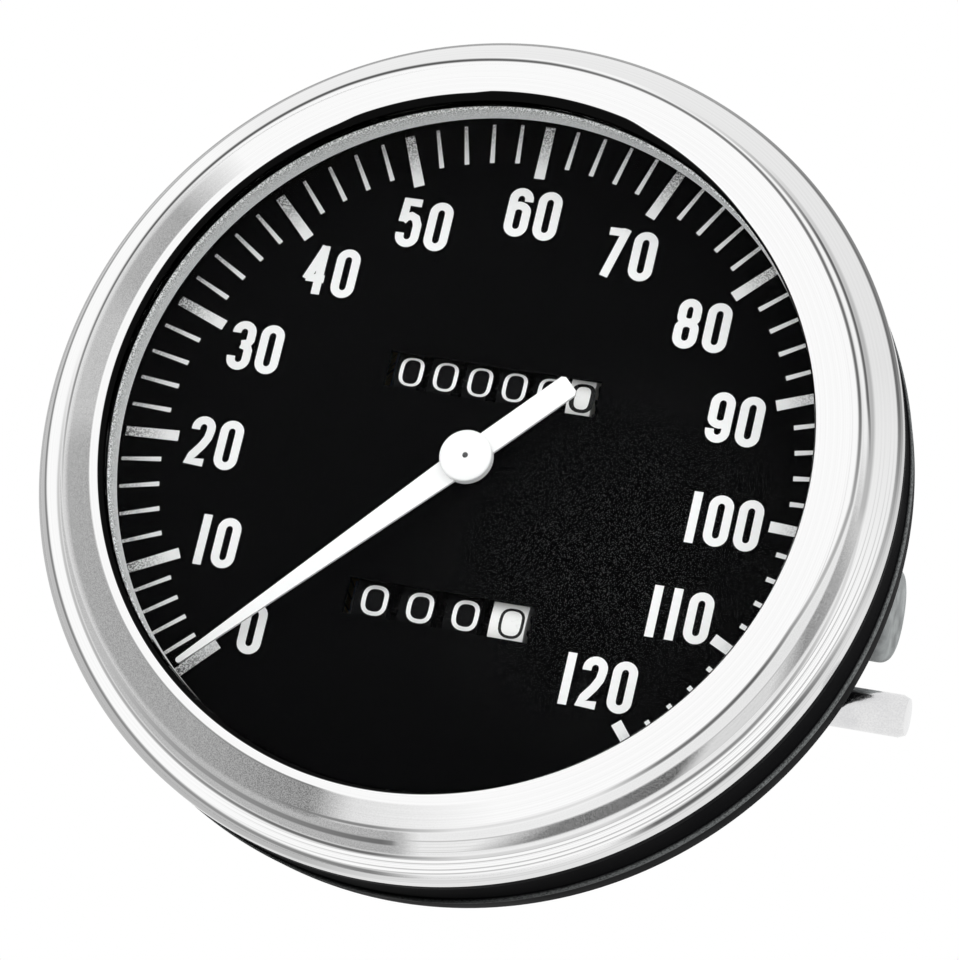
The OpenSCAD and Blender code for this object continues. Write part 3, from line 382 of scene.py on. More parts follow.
def joined(name, pieces, finish):
    """Makes several meshes of one finish one piece."""
    whole = bmesh.new()
    for piece in pieces:
        whole.from_mesh(piece.data)
        bpy.data.objects.remove(piece)
    return kept(name, whole, finish)


zinc = metal_finish("zinc_plate", (0.70, 0.69, 0.64), (0.42, 0.41, 0.38), 0.34)
sheet_in = CASE_T + BURIED
stud_outline = [
    (0, POST_TOP), (POST_R - 0.2, POST_TOP), (POST_R, POST_TOP - 0.2), (POST_R, sheet_in),
    (STUD_HOLE_R, sheet_in), (STUD_HOLE_R, BURIED), (1.9, 0.0), (1.95, -13.2), (2.2, -13.4), (1.75, -13.95),
    (1.6, -STUD_L), (0, -STUD_L),
]
stud_parts = []
for side in (-1, 1):
    place = FACING @ Matrix.Translation((side * STUD_AT, 0, 0))
    stud_parts.append(spun(f"stud_{side}", stud_outline, zinc, place, 64, open_ends=True))
    stud_parts.append(thread(f"stud_thread_{side}", STUD_R, 0.8, -13.0, -0.6, zinc, place))
studs = joined("threaded_studs", stud_parts, zinc)
collar_r = NIPPLE_R + 3
nipple_body = spun("nipple_body", [
    (NIPPLE_BORE, CASE_T + 2), (collar_r - 0.2, CASE_T + 2), (collar_r, CASE_T + 1.8), (collar_r, sheet_in),
    (NIPPLE_R + 0.38, sheet_in), (NIPPLE_R + 0.38, BURIED), (NIPPLE_R - 0.7, 0.0), (NIPPLE_R - 0.7, -13.2),
    (NIPPLE_R - 0.1, -13.4), (NIPPLE_R - 0.6, -14), (NIPPLE_BORE + 0.3, -14), (NIPPLE_BORE, -13.7),
], zinc, FACING, 96)
nipple_ridge = thread("nipple_thread", NIPPLE_R, 1.41, -12.8, -1.2, zinc, FACING)
nipple = joined("threaded_nipple", [nipple_body, nipple_ridge], zinc)
for piece, node in ((studs, "mounting_studs"), (nipple, "drive_nipple")):
    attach(piece, "case")
    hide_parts(node)

# BEARINGS AND DRIVE SHAFT
# Oiled bronze bushes carry the drive shaft in the nipple and the pointer's spindle in the front plate.
# The shafts are turned from bright steel, with worms cut on them and a square socket for the cable's tip.


def grey(shade):
    return (shade, shade, shade)


bronze = metal_finish("oiled_bronze", (0.60, 0.41, 0.20), (0.30, 0.19, 0.09), 0.38, 160.0)
bright_steel = metal_finish("bright_turned_steel", grey(0.66), (0.44, 0.44, 0.45), 0.24, 200.0, 3600.0)
dressed(bronze, "drive_bush", "spindle_bush")
dressed(bright_steel, "drive_shaft", "cross_shaft", "upright_shaft", "odometer_axle", "pinion_shafts",
        "idler_post", "trip_axle", "frame_screws")

# MOVEMENT PLATES AND PILLARS
# Brass plates blanked from sheet and turned flat, so that faint rings show on them, held apart by pillars.
# The pinions beside them are cut from brass, and the frames of the counters are bent from zinc plated sheet.
turned_brass = metal_finish(
    "turned_brass_sheet", (0.74, 0.57, 0.29), (0.52, 0.38, 0.17), 0.30, 70.0, 2400.0, turned=True)
cut_brass = metal_finish("cut_brass", (0.72, 0.55, 0.27), (0.50, 0.36, 0.16), 0.26, 240.0)
dressed(turned_brass, "rear_plate", "front_plate")
dressed(cut_brass, "frame_pillars", "dial_pillars", "spring_stud", "reset_gear",
        *[f"odometer_pinion_{k}" for k in range(1, 6)], *[f"trip_pinion_{k}" for k in range(1, 4)])
dressed(zinc, "odometer_frame", "trip_frame", "gear_bracket")

# MAGNET, CUP AND HAIRSPRING
# A cast ring magnet turns inside a cup of spun aluminium, which a soft iron ring surrounds and a blued steel
# hairspring holds back. The pointer's spindle is dark steel.
magnet_iron = metal_finish(
    "cast_magnet_iron", (0.20, 0.20, 0.21), (0.09, 0.09, 0.10), 0.48, 320.0, 1500.0, 2e-5)
spun_aluminium = metal_finish(
    "spun_aluminium", (0.80, 0.80, 0.79), grey(0.60), 0.32, 110.0, 3000.0, turned=True)
blued_steel = metal_finish("blued_spring_steel", (0.10, 0.16, 0.34), (0.05, 0.07, 0.15), 0.22, 300.0)
spindle_steel = metal_finish("dark_spindle_steel", (0.16, 0.16, 0.17), grey(0.08), 0.32, 300.0)
dressed(magnet_iron, "magnet", "field_ring")
dressed(spun_aluminium, "speed_cup")
dressed(blued_steel, "hairspring")
dressed(spindle_steel, "pointer_spindle")

# RESET STEM AND ITS BUSH
# The stem is turned steel, polished and chromium plated, with a bright chamfered end that the rider's fingers
# turn. Its flanged bush is plated too, and is pressed into the can's wall.
EDGE_ROUNDING = 0.12


def softened(node, name, finish, body):
    """A finished copy of a machined solid, with its seams closed and its edges rounded."""
    shell = bmesh.new()
    shell.from_mesh(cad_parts[node].data)
    bmesh.ops.remove_doubles(shell, verts=shell.verts, dist=2e-6)

    def folds(least, most):
        """Edges at which two faces meet at an angle in a range of degrees."""
        return [e for e in shell.edges
                if len(e.link_faces) == 2 and least < math.degrees(e.calc_face_angle(0.0)) < most]

    bmesh.ops.dissolve_edges(shell, edges=folds(-1.0, 0.4), use_verts=False)
    bmesh.ops.bevel(shell, geom=folds(30.0, 360.0), offset=EDGE_ROUNDING / 1000, segments=3, profile=0.6,
                    affect="EDGES", clamp_overlap=True)
    for face in shell.faces:
        face.smooth = True
    piece = kept(name, shell, finish, math.radians(34))
    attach(piece, body)
    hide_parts(node)


chrome = metal_finish("chromium_plate", grey(0.80), (0.66, 0.66, 0.67), 0.10, 160.0, 3600.0, 8e-7)
softened("reset_stem", "polished_reset_stem", chrome, "stem")
softened("reset_bush", "plated_reset_bush", chrome, "case")

# LAMP HOLDER AND BULB
# A moulded grey rubber boot covers the lamp holder outside the can. It is matt and mottled with age and dust,
# with two shallow grip grooves. The small clear bulb inside lights the drums and the rim of the dial.
LAMP_AT = Matrix.Translation((0, -0.0315, -0.0067))
LAMP = LAMP_AT @ Matrix.Rotation(math.radians(90), 4, "Y") @ Matrix.Scale(0.001, 4)
BOOT_R = 7.2
TUBE_R = 5.2
BOOT_IN = CAN_R + 0.3
BOOT_END = BOOT_IN + 17.0


def rubber_finish(name, light, dark, rough):
    """Moulded rubber: mottled by age, with a fine matt grain."""
    finish, shader, spot = begin_finish(name)
    mottle = grain(spot, 260.0, 6.0)
    fill(shader, {
        "Base Color": tinted(between(mottle, 0.36, 0.64), dark, light),
        "Roughness": between(mottle, 0.3, 0.7, rough, rough + 0.15),
        "Specular IOR Level": 0.3})
    raised(shader, grain(spot, 1400.0, 5.0), 6e-5, 0.6)
    return finish


grey_rubber = rubber_finish("aged_grey_rubber", (0.36, 0.38, 0.38), (0.17, 0.18, 0.18), 0.6)
groove = [(BOOT_R - depth, BOOT_IN + along) for depth, along in (
    (0.05, 6.6), (0.45, 7.0), (0.5, 7.6), (0.45, 8.2), (0.05, 8.6))]
lamp_boot = spun("lamp_boot", [
    (0, CAN_R - 7), (TUBE_R - 0.3, CAN_R - 7), (TUBE_R, CAN_R - 6.7), (TUBE_R, BOOT_IN),
    (BOOT_R - 0.4, BOOT_IN), (BOOT_R, BOOT_IN + 0.4), *groove, *[(r, h + 3.6) for r, h in groove],
    (BOOT_R - 0.1, BOOT_END - 3.2), *arc((BOOT_R - 1.8, BOOT_END - 1.7), 1.7, 0, 90), (0, BOOT_END),
], grey_rubber, LAMP, 96, open_ends=True)
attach(lamp_boot, "case")
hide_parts("lamp_holder")

bulb_glass, shader, spot = begin_finish("warm_bulb_glass")
warmth = between(grain(spot, 300.0), 0.3, 0.7)
fill(shader, {
    "Base Color": tinted(warmth, (1.0, 0.93, 0.78), (1.0, 0.97, 0.88)),
    "Roughness": 0.04, "Transmission Weight": 0.9})
dressed(bulb_glass, "lamp_bulb")

# GEARS OF THE COUNTERS
# Two gears moulded in natural nylon, yellowed a little by oil. One stands beside the odometer's last drum,
# and the other takes its motion down to the trip counter.
nylon, shader, spot = begin_finish("moulded_nylon")
oiled = between(grain(spot, 400.0), 0.35, 0.65)
fill(shader, {
    "Base Color": tinted(oiled, (0.76, 0.71, 0.56), (0.84, 0.80, 0.67)), "Roughness": 0.34})
raised(shader, grain(spot, 2200.0), 8e-6, 0.5)
dressed(nylon, "third_gear", "idler_gear")

# NUMBER DRUMS
# Moulded drums, matt black with white figures, and the last of each counter white with black figures.
# The figures 0 to 9 are printed around each band, and each turns up into the window from below.
ODO_Y = 12.7
TRIP_Y = -22.07
COUNTER_Z = 40.7
DRUM_R = 9.0
SQUARENESS = 0.8
DRUM_INK_T = 0.03
INK_FOOT = -0.02
MITRE_LIMIT = 0.78


def scuffs(spot):
    """Faint scuffs on plastic or ink."""
    return between(grain(spot, 1900.0, 6.0), 0.6, 0.72)


def moulded_finish(name, ground, scuff, rough, gloss=0.3):
    """Matt moulded plastic or printing ink, with faint scuffs."""
    finish, shader, spot = begin_finish(name)
    scuffed = scuffs(spot)
    fill(shader, {
        "Base Color": tinted(scuffed, ground, scuff),
        "Roughness": between(scuffed, 0.0, 1.0, rough, rough + 0.15),
        "Specular IOR Level": gloss})
    raised(shader, grain(spot, 2600.0), 8e-6, 0.5)
    return finish


def two_tone_finish(name, ground, side, edge_x):
    """White moulded plastic up to the edge of the number band, and black on the toothed ring beside it."""
    finish, shader, spot = begin_finish(name)
    band = tinted(scuffs(spot), ground, [0.92 * c for c in ground])
    past = between(part(spot, "X"), edge_x / 1000, edge_x / 1000 + 1e-5)
    fill(shader, {
        "Base Color": tinted(past, band, side), "Roughness": 0.55, "Specular IOR Level": 0.1})
    return finish


def bend(cx, cy, rx, ry, start, end, power, steps=10):
    """Points of a rounded bend; a power below 1 squares it off."""
    points = []
    for i in range(steps + 1):
        turn = math.radians(start + (end - start) * i / steps)
        across, up = math.cos(turn), math.sin(turn)
        points.append((cx + rx * math.copysign(abs(across) ** power, across),
                       cy + ry * math.copysign(abs(up) ** power, up)))
    return points


def figure_lines(figure, w, h, power):
    """Centre lines of a figure's strokes, each with whether it closes, from half its width and height."""
    def at(*shares):
        """Points given in shares of that half width and height."""
        return [(x * w, y * h) for x, y in shares]

    top, low = h - w, w - h
    over = bend(0, top, w, w, 180, 0, power)
    under = bend(0, low, w, w, 0, -180, power)
    if figure == 0:
        return [(over[::-1] + under[::-1], True)]
    if figure == 1:
        return [(at((0, -1), (0, 1)), False)]
    if figure == 2:
        return [([(-w, top - 0.12 * h), *over, (w, top - 0.1 * h), *at((0.86, 0.18), (0.3, -0.22)),
                  *at((-0.7, -0.72)), (-w, -h + 0.02), (w, -h)], False)]
    if figure == 3:
        return [([(-w, top - 0.05 * h), *over, *at((1, 0.3), (0.75, 0.12), (-0.1, 0.06))], False),
                ([*at((-0.1, 0.05), (0.75, -0.02), (1, -0.22)), *under, (-w, low + 0.1 * h)], False)]
    if figure == 4:
        return [(at((0.45, 1), (0.45, -1)), False), (at((0.36, 0.98), (-1, -0.34)), False),
                (at((-1.2, -0.42), (1.2, -0.42)), False)]
    if figure == 5:
        return [(at((1, 1), (-0.92, 1), (-1, 0.02)), False),
                ([*at((-1, 0.06), (-0.55, 0.27), (0, 0.34), (0.62, 0.24), (1, -0.06)), *under,
                  (-w, low + 0.12 * h)], False)]
    if figure in (6, 9):
        loop = bend(0, 0.26 * h - w * 0.6, w, w * 0.8, 0, 180, power)
        lines = [(loop + under[::-1], True), ([(-w, -0.3 * h), *over, (w, top - 0.08 * h)], False)]
        return lines if figure == 6 else [([(-x, -y) for x, y in points], shut) for points, shut in lines]
    if figure == 7:
        return [(at((-1.1, 1), (1.25, 1)), False), (at((0.95, 1), (-0.55, -1)), False)]
    upper = bend(0, top, 0.92 * w, w, 0, 180, power)
    waist = bend(0, 0.06 * h + 0.7 * w, 0.92 * w, 0.7 * w, 180, 360, power)
    hips = bend(0, 0.04 * h - 0.8 * w, w, 0.8 * w, 0, 180, power)
    return [(upper + waist, True), (hips + under[::-1], True)]


def stroke_rows(figure, line, shut, upright, level):
    """The two sides of a stroke at each point of its centre line, mitred at its corners."""
    rows = []
    last = len(line) - 1
    for i, (x, y) in enumerate(line):
        before = line[i - 1] if i or shut else line[i]
        after = line[(i + 1) % len(line)] if i < last or shut else line[i]
        back = Vector((x - before[0], y - before[1]))
        ahead = Vector((after[0] - x, after[1] - y))
        one = back.normalized() if back.length > 1e-6 else ahead.normalized()
        two = ahead.normalized() if ahead.length > 1e-6 else one
        way = (one + two).normalized() if (one + two).length > 1e-6 else one
        side = Vector((-way.y, way.x))
        stretch = 1 / max(MITRE_LIMIT, side.dot(Vector((-one.y, one.x))))
        half = stretch * (upright * side.x ** 2 + level * side.y ** 2) / 2
        point = Vector((x, y))
        if not shut and i in (0, last) and figure in (1, 4, 7) and abs(way.y) > 0.8:
            point += way * level / 2 * (-1 if i == 0 else 1)
        rows.append([point + side * half, point - side * half])
    return rows


def printed_figure(shell, figure, size, strokes, place, thick, power=1.0):
    """Prints a figure, its upright and level strokes of their own widths, on the surface that place says."""
    upright, level = strokes
    w, h = (size[0] - upright) / 2, (size[1] - level) / 2
    for layer, (line, shut) in enumerate(figure_lines(figure, w, h, power)):
        count = len(line)
        rows = stroke_rows(figure, line, shut, upright, level)
        tops, feet = (
            [[shell.verts.new(place(p.x, p.y, rise)) for p in row] for row in rows]
            for rise in (thick * (1 + 0.12 * layer), INK_FOOT))
        for i in range(count if shut else count - 1):
            j = (i + 1) % count
            shell.faces.new((tops[i][0], tops[j][0], tops[j][1], tops[i][1]))
            shell.faces.new((feet[i][1], feet[j][1], feet[j][0], feet[i][0]))
            for k in (0, 1):
                shell.faces.new((tops[i][k], feet[i][k], feet[j][k], tops[j][k]))
        if not shut:
            for i in (0, count - 1):
                shell.faces.new((tops[i][0], tops[i][1], feet[i][1], feet[i][0]))


def printed(name, shell, finish, body):
    """Keeps the printed figures as one piece on a body."""
    bmesh.ops.recalc_face_normals(shell, faces=shell.faces)
    piece = kept(name, shell, finish)
    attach(piece, body)


def on_drum(x_mid, y_mid, turn):
    """Where a figure's points lie on a drum: across it, up around it and above its skin."""
    def place(x, y, rise):
        angle = turn + y / DRUM_R
        up, out = (DRUM_R + rise) * math.sin(angle), (DRUM_R + rise) * math.cos(angle)
        return Vector((x_mid + x, -(COUNTER_Z + out), y_mid + up)) / 1000
    return place


black_drum = moulded_finish("black_drum_plastic", (0.0035, 0.0035, 0.004), grey(0.016), 0.6, 0.05)
white_print = moulded_finish("white_printed_figures", grey(0.95), grey(0.88), 0.5)
black_print = moulded_finish("black_printed_figures", grey(0.008), grey(0.02), 0.5)
# Each counter's figures: width and height, the widths of their strokes, and how far aside and up they sit.
white_figures = {
    "odometer": ((3.6, 4.5), (0.58, 0.36), (0.5, 0.36)), "trip": ((3.95, 4.65), (0.66, 0.6), (0.42, 0.15))}
black_figures = {
    "odometer": ((3.7, 4.55), (0.72, 0.5), (0.2, 0.3)), "trip": ((3.7, 4.55), (0.44, 0.4), (0.45, 0.1))}
for counter, drums, pitch, y_mid, edge_x in (
        ("odometer", 6, 5.3, ODO_Y, 15.0), ("trip", 4, 6.9, TRIP_Y, 12.9)):
    white_drum = two_tone_finish(f"white_{counter}_plastic", (0.94, 0.94, 0.93), grey(0.004), edge_x)
    for k in range(1, drums + 1):
        last = k == drums
        dressed(white_drum if last else black_drum, f"{counter}_drum_{k}")
        size, strokes, (aside, lift) = (black_figures if last else white_figures)[counter]
        x_mid = (k - (drums + 1) / 2) * pitch + aside
        shell = bmesh.new()
        for figure in range(10):
            turn = lift / DRUM_R - math.radians(36 * figure)
            printed_figure(shell, figure, size, strokes, on_drum(x_mid, y_mid, turn), DRUM_INK_T, SQUARENESS)
        printed(f"{counter}_figures_{k}", shell, black_print if last else white_print, f"{counter}_wheel_{k}")

# DIAL
# A steel disc with two windows, sprayed satin black. Fine specks of dust in the paint catch the light, mostly
# towards four o'clock. It hangs on the three dial pillars, and the black spacer ring holds its edge down.
DUSTIEST = (0.024, -0.051, -0.010)
dial_black, shader, spot = begin_finish("satin_dial_black")
away = put(spot.id_data, "ShaderNodeVectorMath", {0: spot, 1: DUSTIEST}, operation="DISTANCE")
dusty = between(away.outputs["Value"], 0.006, 0.032, 0.75, 0.04)
specks = times(between(grain(spot, 5600.0, 2.0), 0.60, 0.70), dusty)
fill(shader, {
    "Base Color": tinted(specks, (0.0016, 0.0016, 0.0018), (0.10, 0.104, 0.104)),
    "Roughness": between(grain(spot, 300.0), 0.3, 0.7, 0.6, 0.7),
    "Specular IOR Level": 0.01})
dressed(dial_black, "dial_plate")
spacer_black = enamel_finish("spacer_black_enamel", (0.003, 0.003, 0.0032), grey(0.02), 0.5, gloss=0.02)
dressed(spacer_black, "spacer_ring")

# DIAL MARKS
# Screen-printed bars, one for each two units and a broad one for each ten. From 0 to 10, where the magnet
# pulls weakest, they stand closer. The print is white at its inner ends and painted a grainy grey further
# out, painted shade where the trim ring and the bezel overhang the dial's rim.
DIAL_Z = 51.0
MARK_ZERO = 226.3
MARK_TEN = 206.5
MARK_STEP = (MARK_TEN + 49.2) / 55
CLOSE_STEP = (MARK_ZERO - MARK_TEN) / 5
MARKS_OUT = 53.25
BROAD_IN = 45.0
FINE_IN = 47.14


def marking_tree():
    """Sets bars around the dial from the first angle on, each tapered from its inner end."""
    tree, given = begin_tree("dial_marks", {
        "Base": "Geometry", "Count": "Int", "First angle": "Float", "Step": "Float", "Inner radius": "Float",
        "Outer radius": "Float", "Inner width": "Float", "Outer width": "Float", "Thickness": "Float",
        "Finish": "Material"}, "Marks")
    length = reckon("SUBTRACT", given["Outer radius"], given["Inner radius"])
    middle = times(reckon("ADD", given["Outer radius"], given["Inner radius"]), 0.5)
    size = put(tree, "ShaderNodeCombineXYZ", {"X": length, "Y": 1.0, "Z": given["Thickness"]})
    bar = put(tree, "GeometryNodeMeshCube", {"Size": size, "Vertices X": 6})
    spot = put(tree, "ShaderNodeSeparateXYZ", {"Vector": put(tree, "GeometryNodeInputPosition")}).outputs
    outwards = reckon("DIVIDE", spot["X"], length)
    width = between(outwards, -0.5, 0.5, given["Inner width"], given["Outer width"])
    tapered = put(tree, "ShaderNodeCombineXYZ", {
        "X": reckon("ADD", spot["X"], middle), "Y": times(spot["Y"], width),
        "Z": spot["Z"]})
    shaped = put(tree, "GeometryNodeSetPosition", {"Geometry": bar, "Position": tapered})
    points = put(tree, "GeometryNodePoints", {"Count": given["Count"]})
    index = put(tree, "GeometryNodeInputIndex")
    angle = reckon("SUBTRACT", given["First angle"], times(index, given["Step"]))
    turn = put(tree, "ShaderNodeCombineXYZ", {"Z": angle})
    bars = put(tree, "GeometryNodeInstanceOnPoints", {"Points": points, "Instance": shaped, "Rotation": turn})
    return end_tree(tree, bars, given["Finish"])


MARKS = marking_tree()


def thinning_print(name, shade_from, shade_to, most):
    """White print painted a grainy grey between two radii in millimetres: painted shade towards the dial's
    rim.
    """
    finish, shader, spot = begin_finish(name)
    # Painted shade: the print goes grey and grainy towards the rim, where the trim ring and bezel overhang
    # it.
    rim_shade = between(from_axis(spot), shade_from / 1000, shade_to / 1000, 0.0, most)
    grainy = between(grain(spot, 4200.0, 1.0), 0.42, 0.58, 0.1, 1.0)
    grainy_rim_shade = times(rim_shade, grainy)
    fill(shader, {
        "Base Color": tinted(grainy_rim_shade, grey(0.96), (0.06, 0.062, 0.062)),
        "Roughness": 0.55, "Specular IOR Level": 0.1})
    return finish


broad_print = thinning_print("rim_shaded_broad_print", 46.5, 53.4, 0.95)
zero_print = thinning_print("rim_shaded_zero_print", 43.5, 52.0, 0.95)
fine_print = thinning_print("rim_shaded_fine_print", 48.5, 54.5, 0.7)
for name, count, first, step, inner, wide, narrow, thick, mark_print in (
        ("zero_mark", 1, MARK_ZERO, CLOSE_STEP, BROAD_IN, 1.6, 1.45, 0.06, zero_print),
        ("major_marks", 12, MARK_TEN, 5 * MARK_STEP, BROAD_IN, 1.62, 1.45, 0.06, broad_print),
        ("close_minor_marks", 4, MARK_ZERO - CLOSE_STEP, CLOSE_STEP, FINE_IN, 0.66, 0.5, 0.05, fine_print),
        ("minor_marks", 56, MARK_TEN, MARK_STEP, FINE_IN, 0.72, 0.5, 0.05, fine_print)):
    marks = grown(name, bpy.data.meshes.new(name), MARKS, {
        "Count": count, "First angle": math.radians(first), "Step": math.radians(step),
        "Inner radius": inner, "Outer radius": MARKS_OUT, "Inner width": wide, "Outer width": narrow,
        "Thickness": thick, "Finish": mark_print})
    closed_up(marks.data, FACING @ Matrix.Translation((0, 0, DIAL_Z)))
    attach(marks, "case")

# DIAL NUMBERS
# Plain numbers in tall bold condensed figures, screen-printed in white and standing upright on the dial.
# Each number has its middle at a place on the dial, to the right of its axis and above it.
FIGURE_SIZE = (3.65, 7.7)
FIGURE_STROKES = (1.3, 1.2)
DIAL_INK_T = 0.04
numbers = {
    0: (-26.55, -29.5), 10: (-34.9, -17.5), 20: (-39.2, -2.8), 30: (-36.7, 12.7), 40: (-28.1, 26.1),
    50: (-15.8, 35.4), 60: (0.15, 39.4), 70: (15.7, 35.3), 80: (28.9, 26.1), 90: (36.7, 12.8),
    100: (38.5, -2.5), 110: (35.1, -17.1), 120: (25.7, -28.9),
}


def on_dial(x_mid, y_mid):
    """Where a figure's points lie on the dial."""
    def place(x, y, rise):
        return Vector((x_mid + x, -(DIAL_Z + rise), y_mid + y)) / 1000
    return place


figure_white = moulded_finish("white_dial_print", grey(0.95), grey(0.90), 0.5)
shell = bmesh.new()
for number, (x_mid, y_mid) in numbers.items():
    figures = [int(c) for c in str(number)]
    room = [2.9 if f == 1 else 4.45 for f in figures]
    edge = [0.64 if f == 1 else 1.82 for f in (figures[0], figures[-1])]
    start = x_mid - (sum(room) - room[0] / 2 - room[-1] / 2 + edge[1] - edge[0]) / 2
    for i, figure in enumerate(figures):
        x = start + sum(room[:i]) + room[i] / 2 - room[0] / 2
        printed_figure(shell, figure, FIGURE_SIZE, FIGURE_STROKES, on_dial(x, y_mid), DIAL_INK_T)
printed("dial_numbers", shell, figure_white, "case")

# POINTER
# Cut from thin sheet with a long tapered blade, a round middle and a broad square tail, and painted white.
# A turned white cap hides the boss that grips the spindle, whose dark end shows as a dot in the middle.
POINTER_Z = DIAL_Z + 3.2
SHEET_T = 0.5
BLADE_END = 51.2
TIP_R = 0.45
TAIL_END = -18.4
MIDDLE_R = 3.9
BLADE_HALF = 1.9
TAIL_HALF = 1.8
CAP_Z = POINTER_Z + SHEET_T
pointer_white = enamel_finish("pointer_white_enamel", grey(0.95), (0.84, 0.84, 0.83), 0.45, 0.74, 8e-6)


def sheet_outline():
    """The pointer's outline, with its blade along +x."""
    blade_turn, tail_turn = (math.asin(half / MIDDLE_R) for half in (BLADE_HALF, TAIL_HALF))
    upper = arc((BLADE_END - TIP_R, 0), TIP_R, 0, 90, 6) + [(MIDDLE_R * math.cos(blade_turn), BLADE_HALF)]
    upper += arc((0, 0), MIDDLE_R, math.degrees(blade_turn), 180 - math.degrees(tail_turn), 24)[1:-1]
    upper += [(-MIDDLE_R * math.cos(tail_turn), TAIL_HALF), (TAIL_END + 0.5, TAIL_HALF),
              (TAIL_END, TAIL_HALF - 0.5)]
    return upper + [(x, -y) for x, y in reversed(upper[1:])]


shell = bmesh.new()
low, high = ([shell.verts.new((x, y, h)) for x, y in sheet_outline()] for h in (0, SHEET_T))
shell.faces.new(high)
shell.faces.new(low[::-1])
for i in range(len(low)):
    j = (i + 1) % len(low)
    shell.faces.new((low[i], low[j], high[j], high[i]))
rim = [e for e in shell.edges if e.calc_face_angle(0.0) > math.radians(60)]
bmesh.ops.bevel(shell, geom=rim, offset=0.08, segments=3, profile=0.5, affect="EDGES")
pointer = kept("pointer_sheet", shell, pointer_white)
at_zero = Matrix.Rotation(math.radians(MARK_ZERO), 4, "Z")
closed_up(pointer.data, FACING @ Matrix.Translation((0, 0, POINTER_Z)) @ at_zero)
hub = spun("pointer_cap", [(r, CAP_Z + h) for r, h in (
    (0.78, 0.01), (MIDDLE_R - 0.1, 0.01), (MIDDLE_R, 0.1), (MIDDLE_R, 0.62),
    *arc((MIDDLE_R - 0.35, 0.65), 0.35, 0, 75, 5), (2.6, 1.07), (1.2, 1.1), (0.5, 1.1), (0.42, 1.04),
    (0.42, 0.97), (0.78, 0.96),
)], pointer_white, FACING, 128)
for piece, node in ((pointer, "pointer"), (hub, "pointer_hub")):
    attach(piece, "pointer")
    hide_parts(node)

# TRIM RING
# A rolled aluminium channel under the glass, whose bright inner wall shows as a silver line around the dial.
# The wall is etched, so that it sparkles, and painted darker towards its top, a painted highlight at its
# lower edge. At the lower left the wall carries painted shade, black from the top down, and past the inner
# wall the rolled edges are painted black.
TRIM_R = 51.8
TRIM_OUT = 55.6
TRIM_T = 0.5
TRIM_ROLL = 0.4
TRIM_Z = 56.6
SEAL_Z = 60.6


def round_share(spot):
    """Where a point lies round the axis, as a share of a turn from three o'clock towards twelve."""
    turn = reckon("ARCTAN2", part(spot, "Z"), part(spot, "X"))
    return reckon("WRAP", reckon("DIVIDE", turn, math.tau), 1.0, 0.0)


def by_angle(share, *points):
    """A value from 0 to 1 that changes round the axis, given in degrees and value, and ends as it starts."""
    node = put(share.id_data, "ShaderNodeFloatCurve", {"Value": share})
    points = (*points, (360, points[0][1]))
    curve = node.mapping.curves[0]
    for _ in points[2:]:
        curve.points.new(0.5, 0.5)
    for point, (degrees, value) in zip(curve.points, points):
        point.location = (degrees / 360, value)
        point.handle_type = "VECTOR"
    node.mapping.update()
    return node.outputs["Value"]


trim_metal, shader, spot = begin_finish("grained_trim_aluminium")
pits = between(grain(spot, 4600.0, 1.0), 0.42, 0.58)
height = between(part(spot, "Y"), -TRIM_Z / 1000, -SEAL_Z / 1000)
# Painted shade: at the lower left the wall is painted black from the top down.
lit_up_to = by_angle(round_share(spot), (0, 1.0), (222, 1.0), (238, 0.0), (268, 0.0), (290, 1.0))
darkening = between(reckon("SUBTRACT", height, lit_up_to), 0.0, 0.08)
# Past the inner wall the rolled edges are painted black.
blacked = between(from_axis(spot), (TRIM_R + 0.34) / 1000, (TRIM_R + 0.42) / 1000)
# The etched pits grow darker towards the top: painted fall-off of light, leaving a painted highlight low
# down.
worn = times(pits, between(height, 0.0, 1.0, 0.0, 0.75))
etched = tinted(worn, (0.97, 0.98, 0.98), (0.14, 0.15, 0.15))
fill(shader, {
    "Base Color": tinted(reckon("ADD", darkening, blacked, clamp=True), etched, grey(0.004)),
    "Roughness": between(pits, 0.0, 1.0, 0.5, 0.65),
    "Metallic": 0.1, "Specular IOR Level": 0.02})
raised(shader, pits, 8e-6, 0.3)
trim = spun("rolled_trim_ring", [
    (TRIM_OUT, TRIM_Z), *arc((TRIM_R + TRIM_ROLL, TRIM_Z + TRIM_ROLL), TRIM_ROLL, 270, 180, 5),
    *arc((TRIM_R + TRIM_ROLL, SEAL_Z - TRIM_ROLL), TRIM_ROLL, 180, 90, 5),
    (TRIM_OUT, SEAL_Z), (TRIM_OUT, SEAL_Z - TRIM_T), (TRIM_R + TRIM_T, SEAL_Z - TRIM_T),
    (TRIM_R + TRIM_T, TRIM_Z + TRIM_T), (TRIM_OUT, TRIM_Z + TRIM_T),
], trim_metal)
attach(trim, "case")
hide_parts("trim_ring")

# GLASS AND ITS SEAL
# A flat disc of clear window glass with ground edges, in a channel of black rubber under the bezel's lip.
# Light for the dial passes straight through it, and its reflection is held low.
LIP_R = 52.55
LIP_Z = 63.4
LENS_Z = 60.9
LENS_R = LIP_R + 2.5
LENS_TOP = LENS_Z + 1.8


def let_through(shader, rays, colour):
    """Lets some rays pass straight through a surface."""
    tree = shader.id_data
    clear = put(tree, "ShaderNodeBsdfTransparent", {"Color": (*colour, 1.0)})
    either = put(tree, "ShaderNodeMixShader", {0: rays, 1: shader, 2: clear})
    fill(tree.nodes["Material Output"], {"Surface": either})


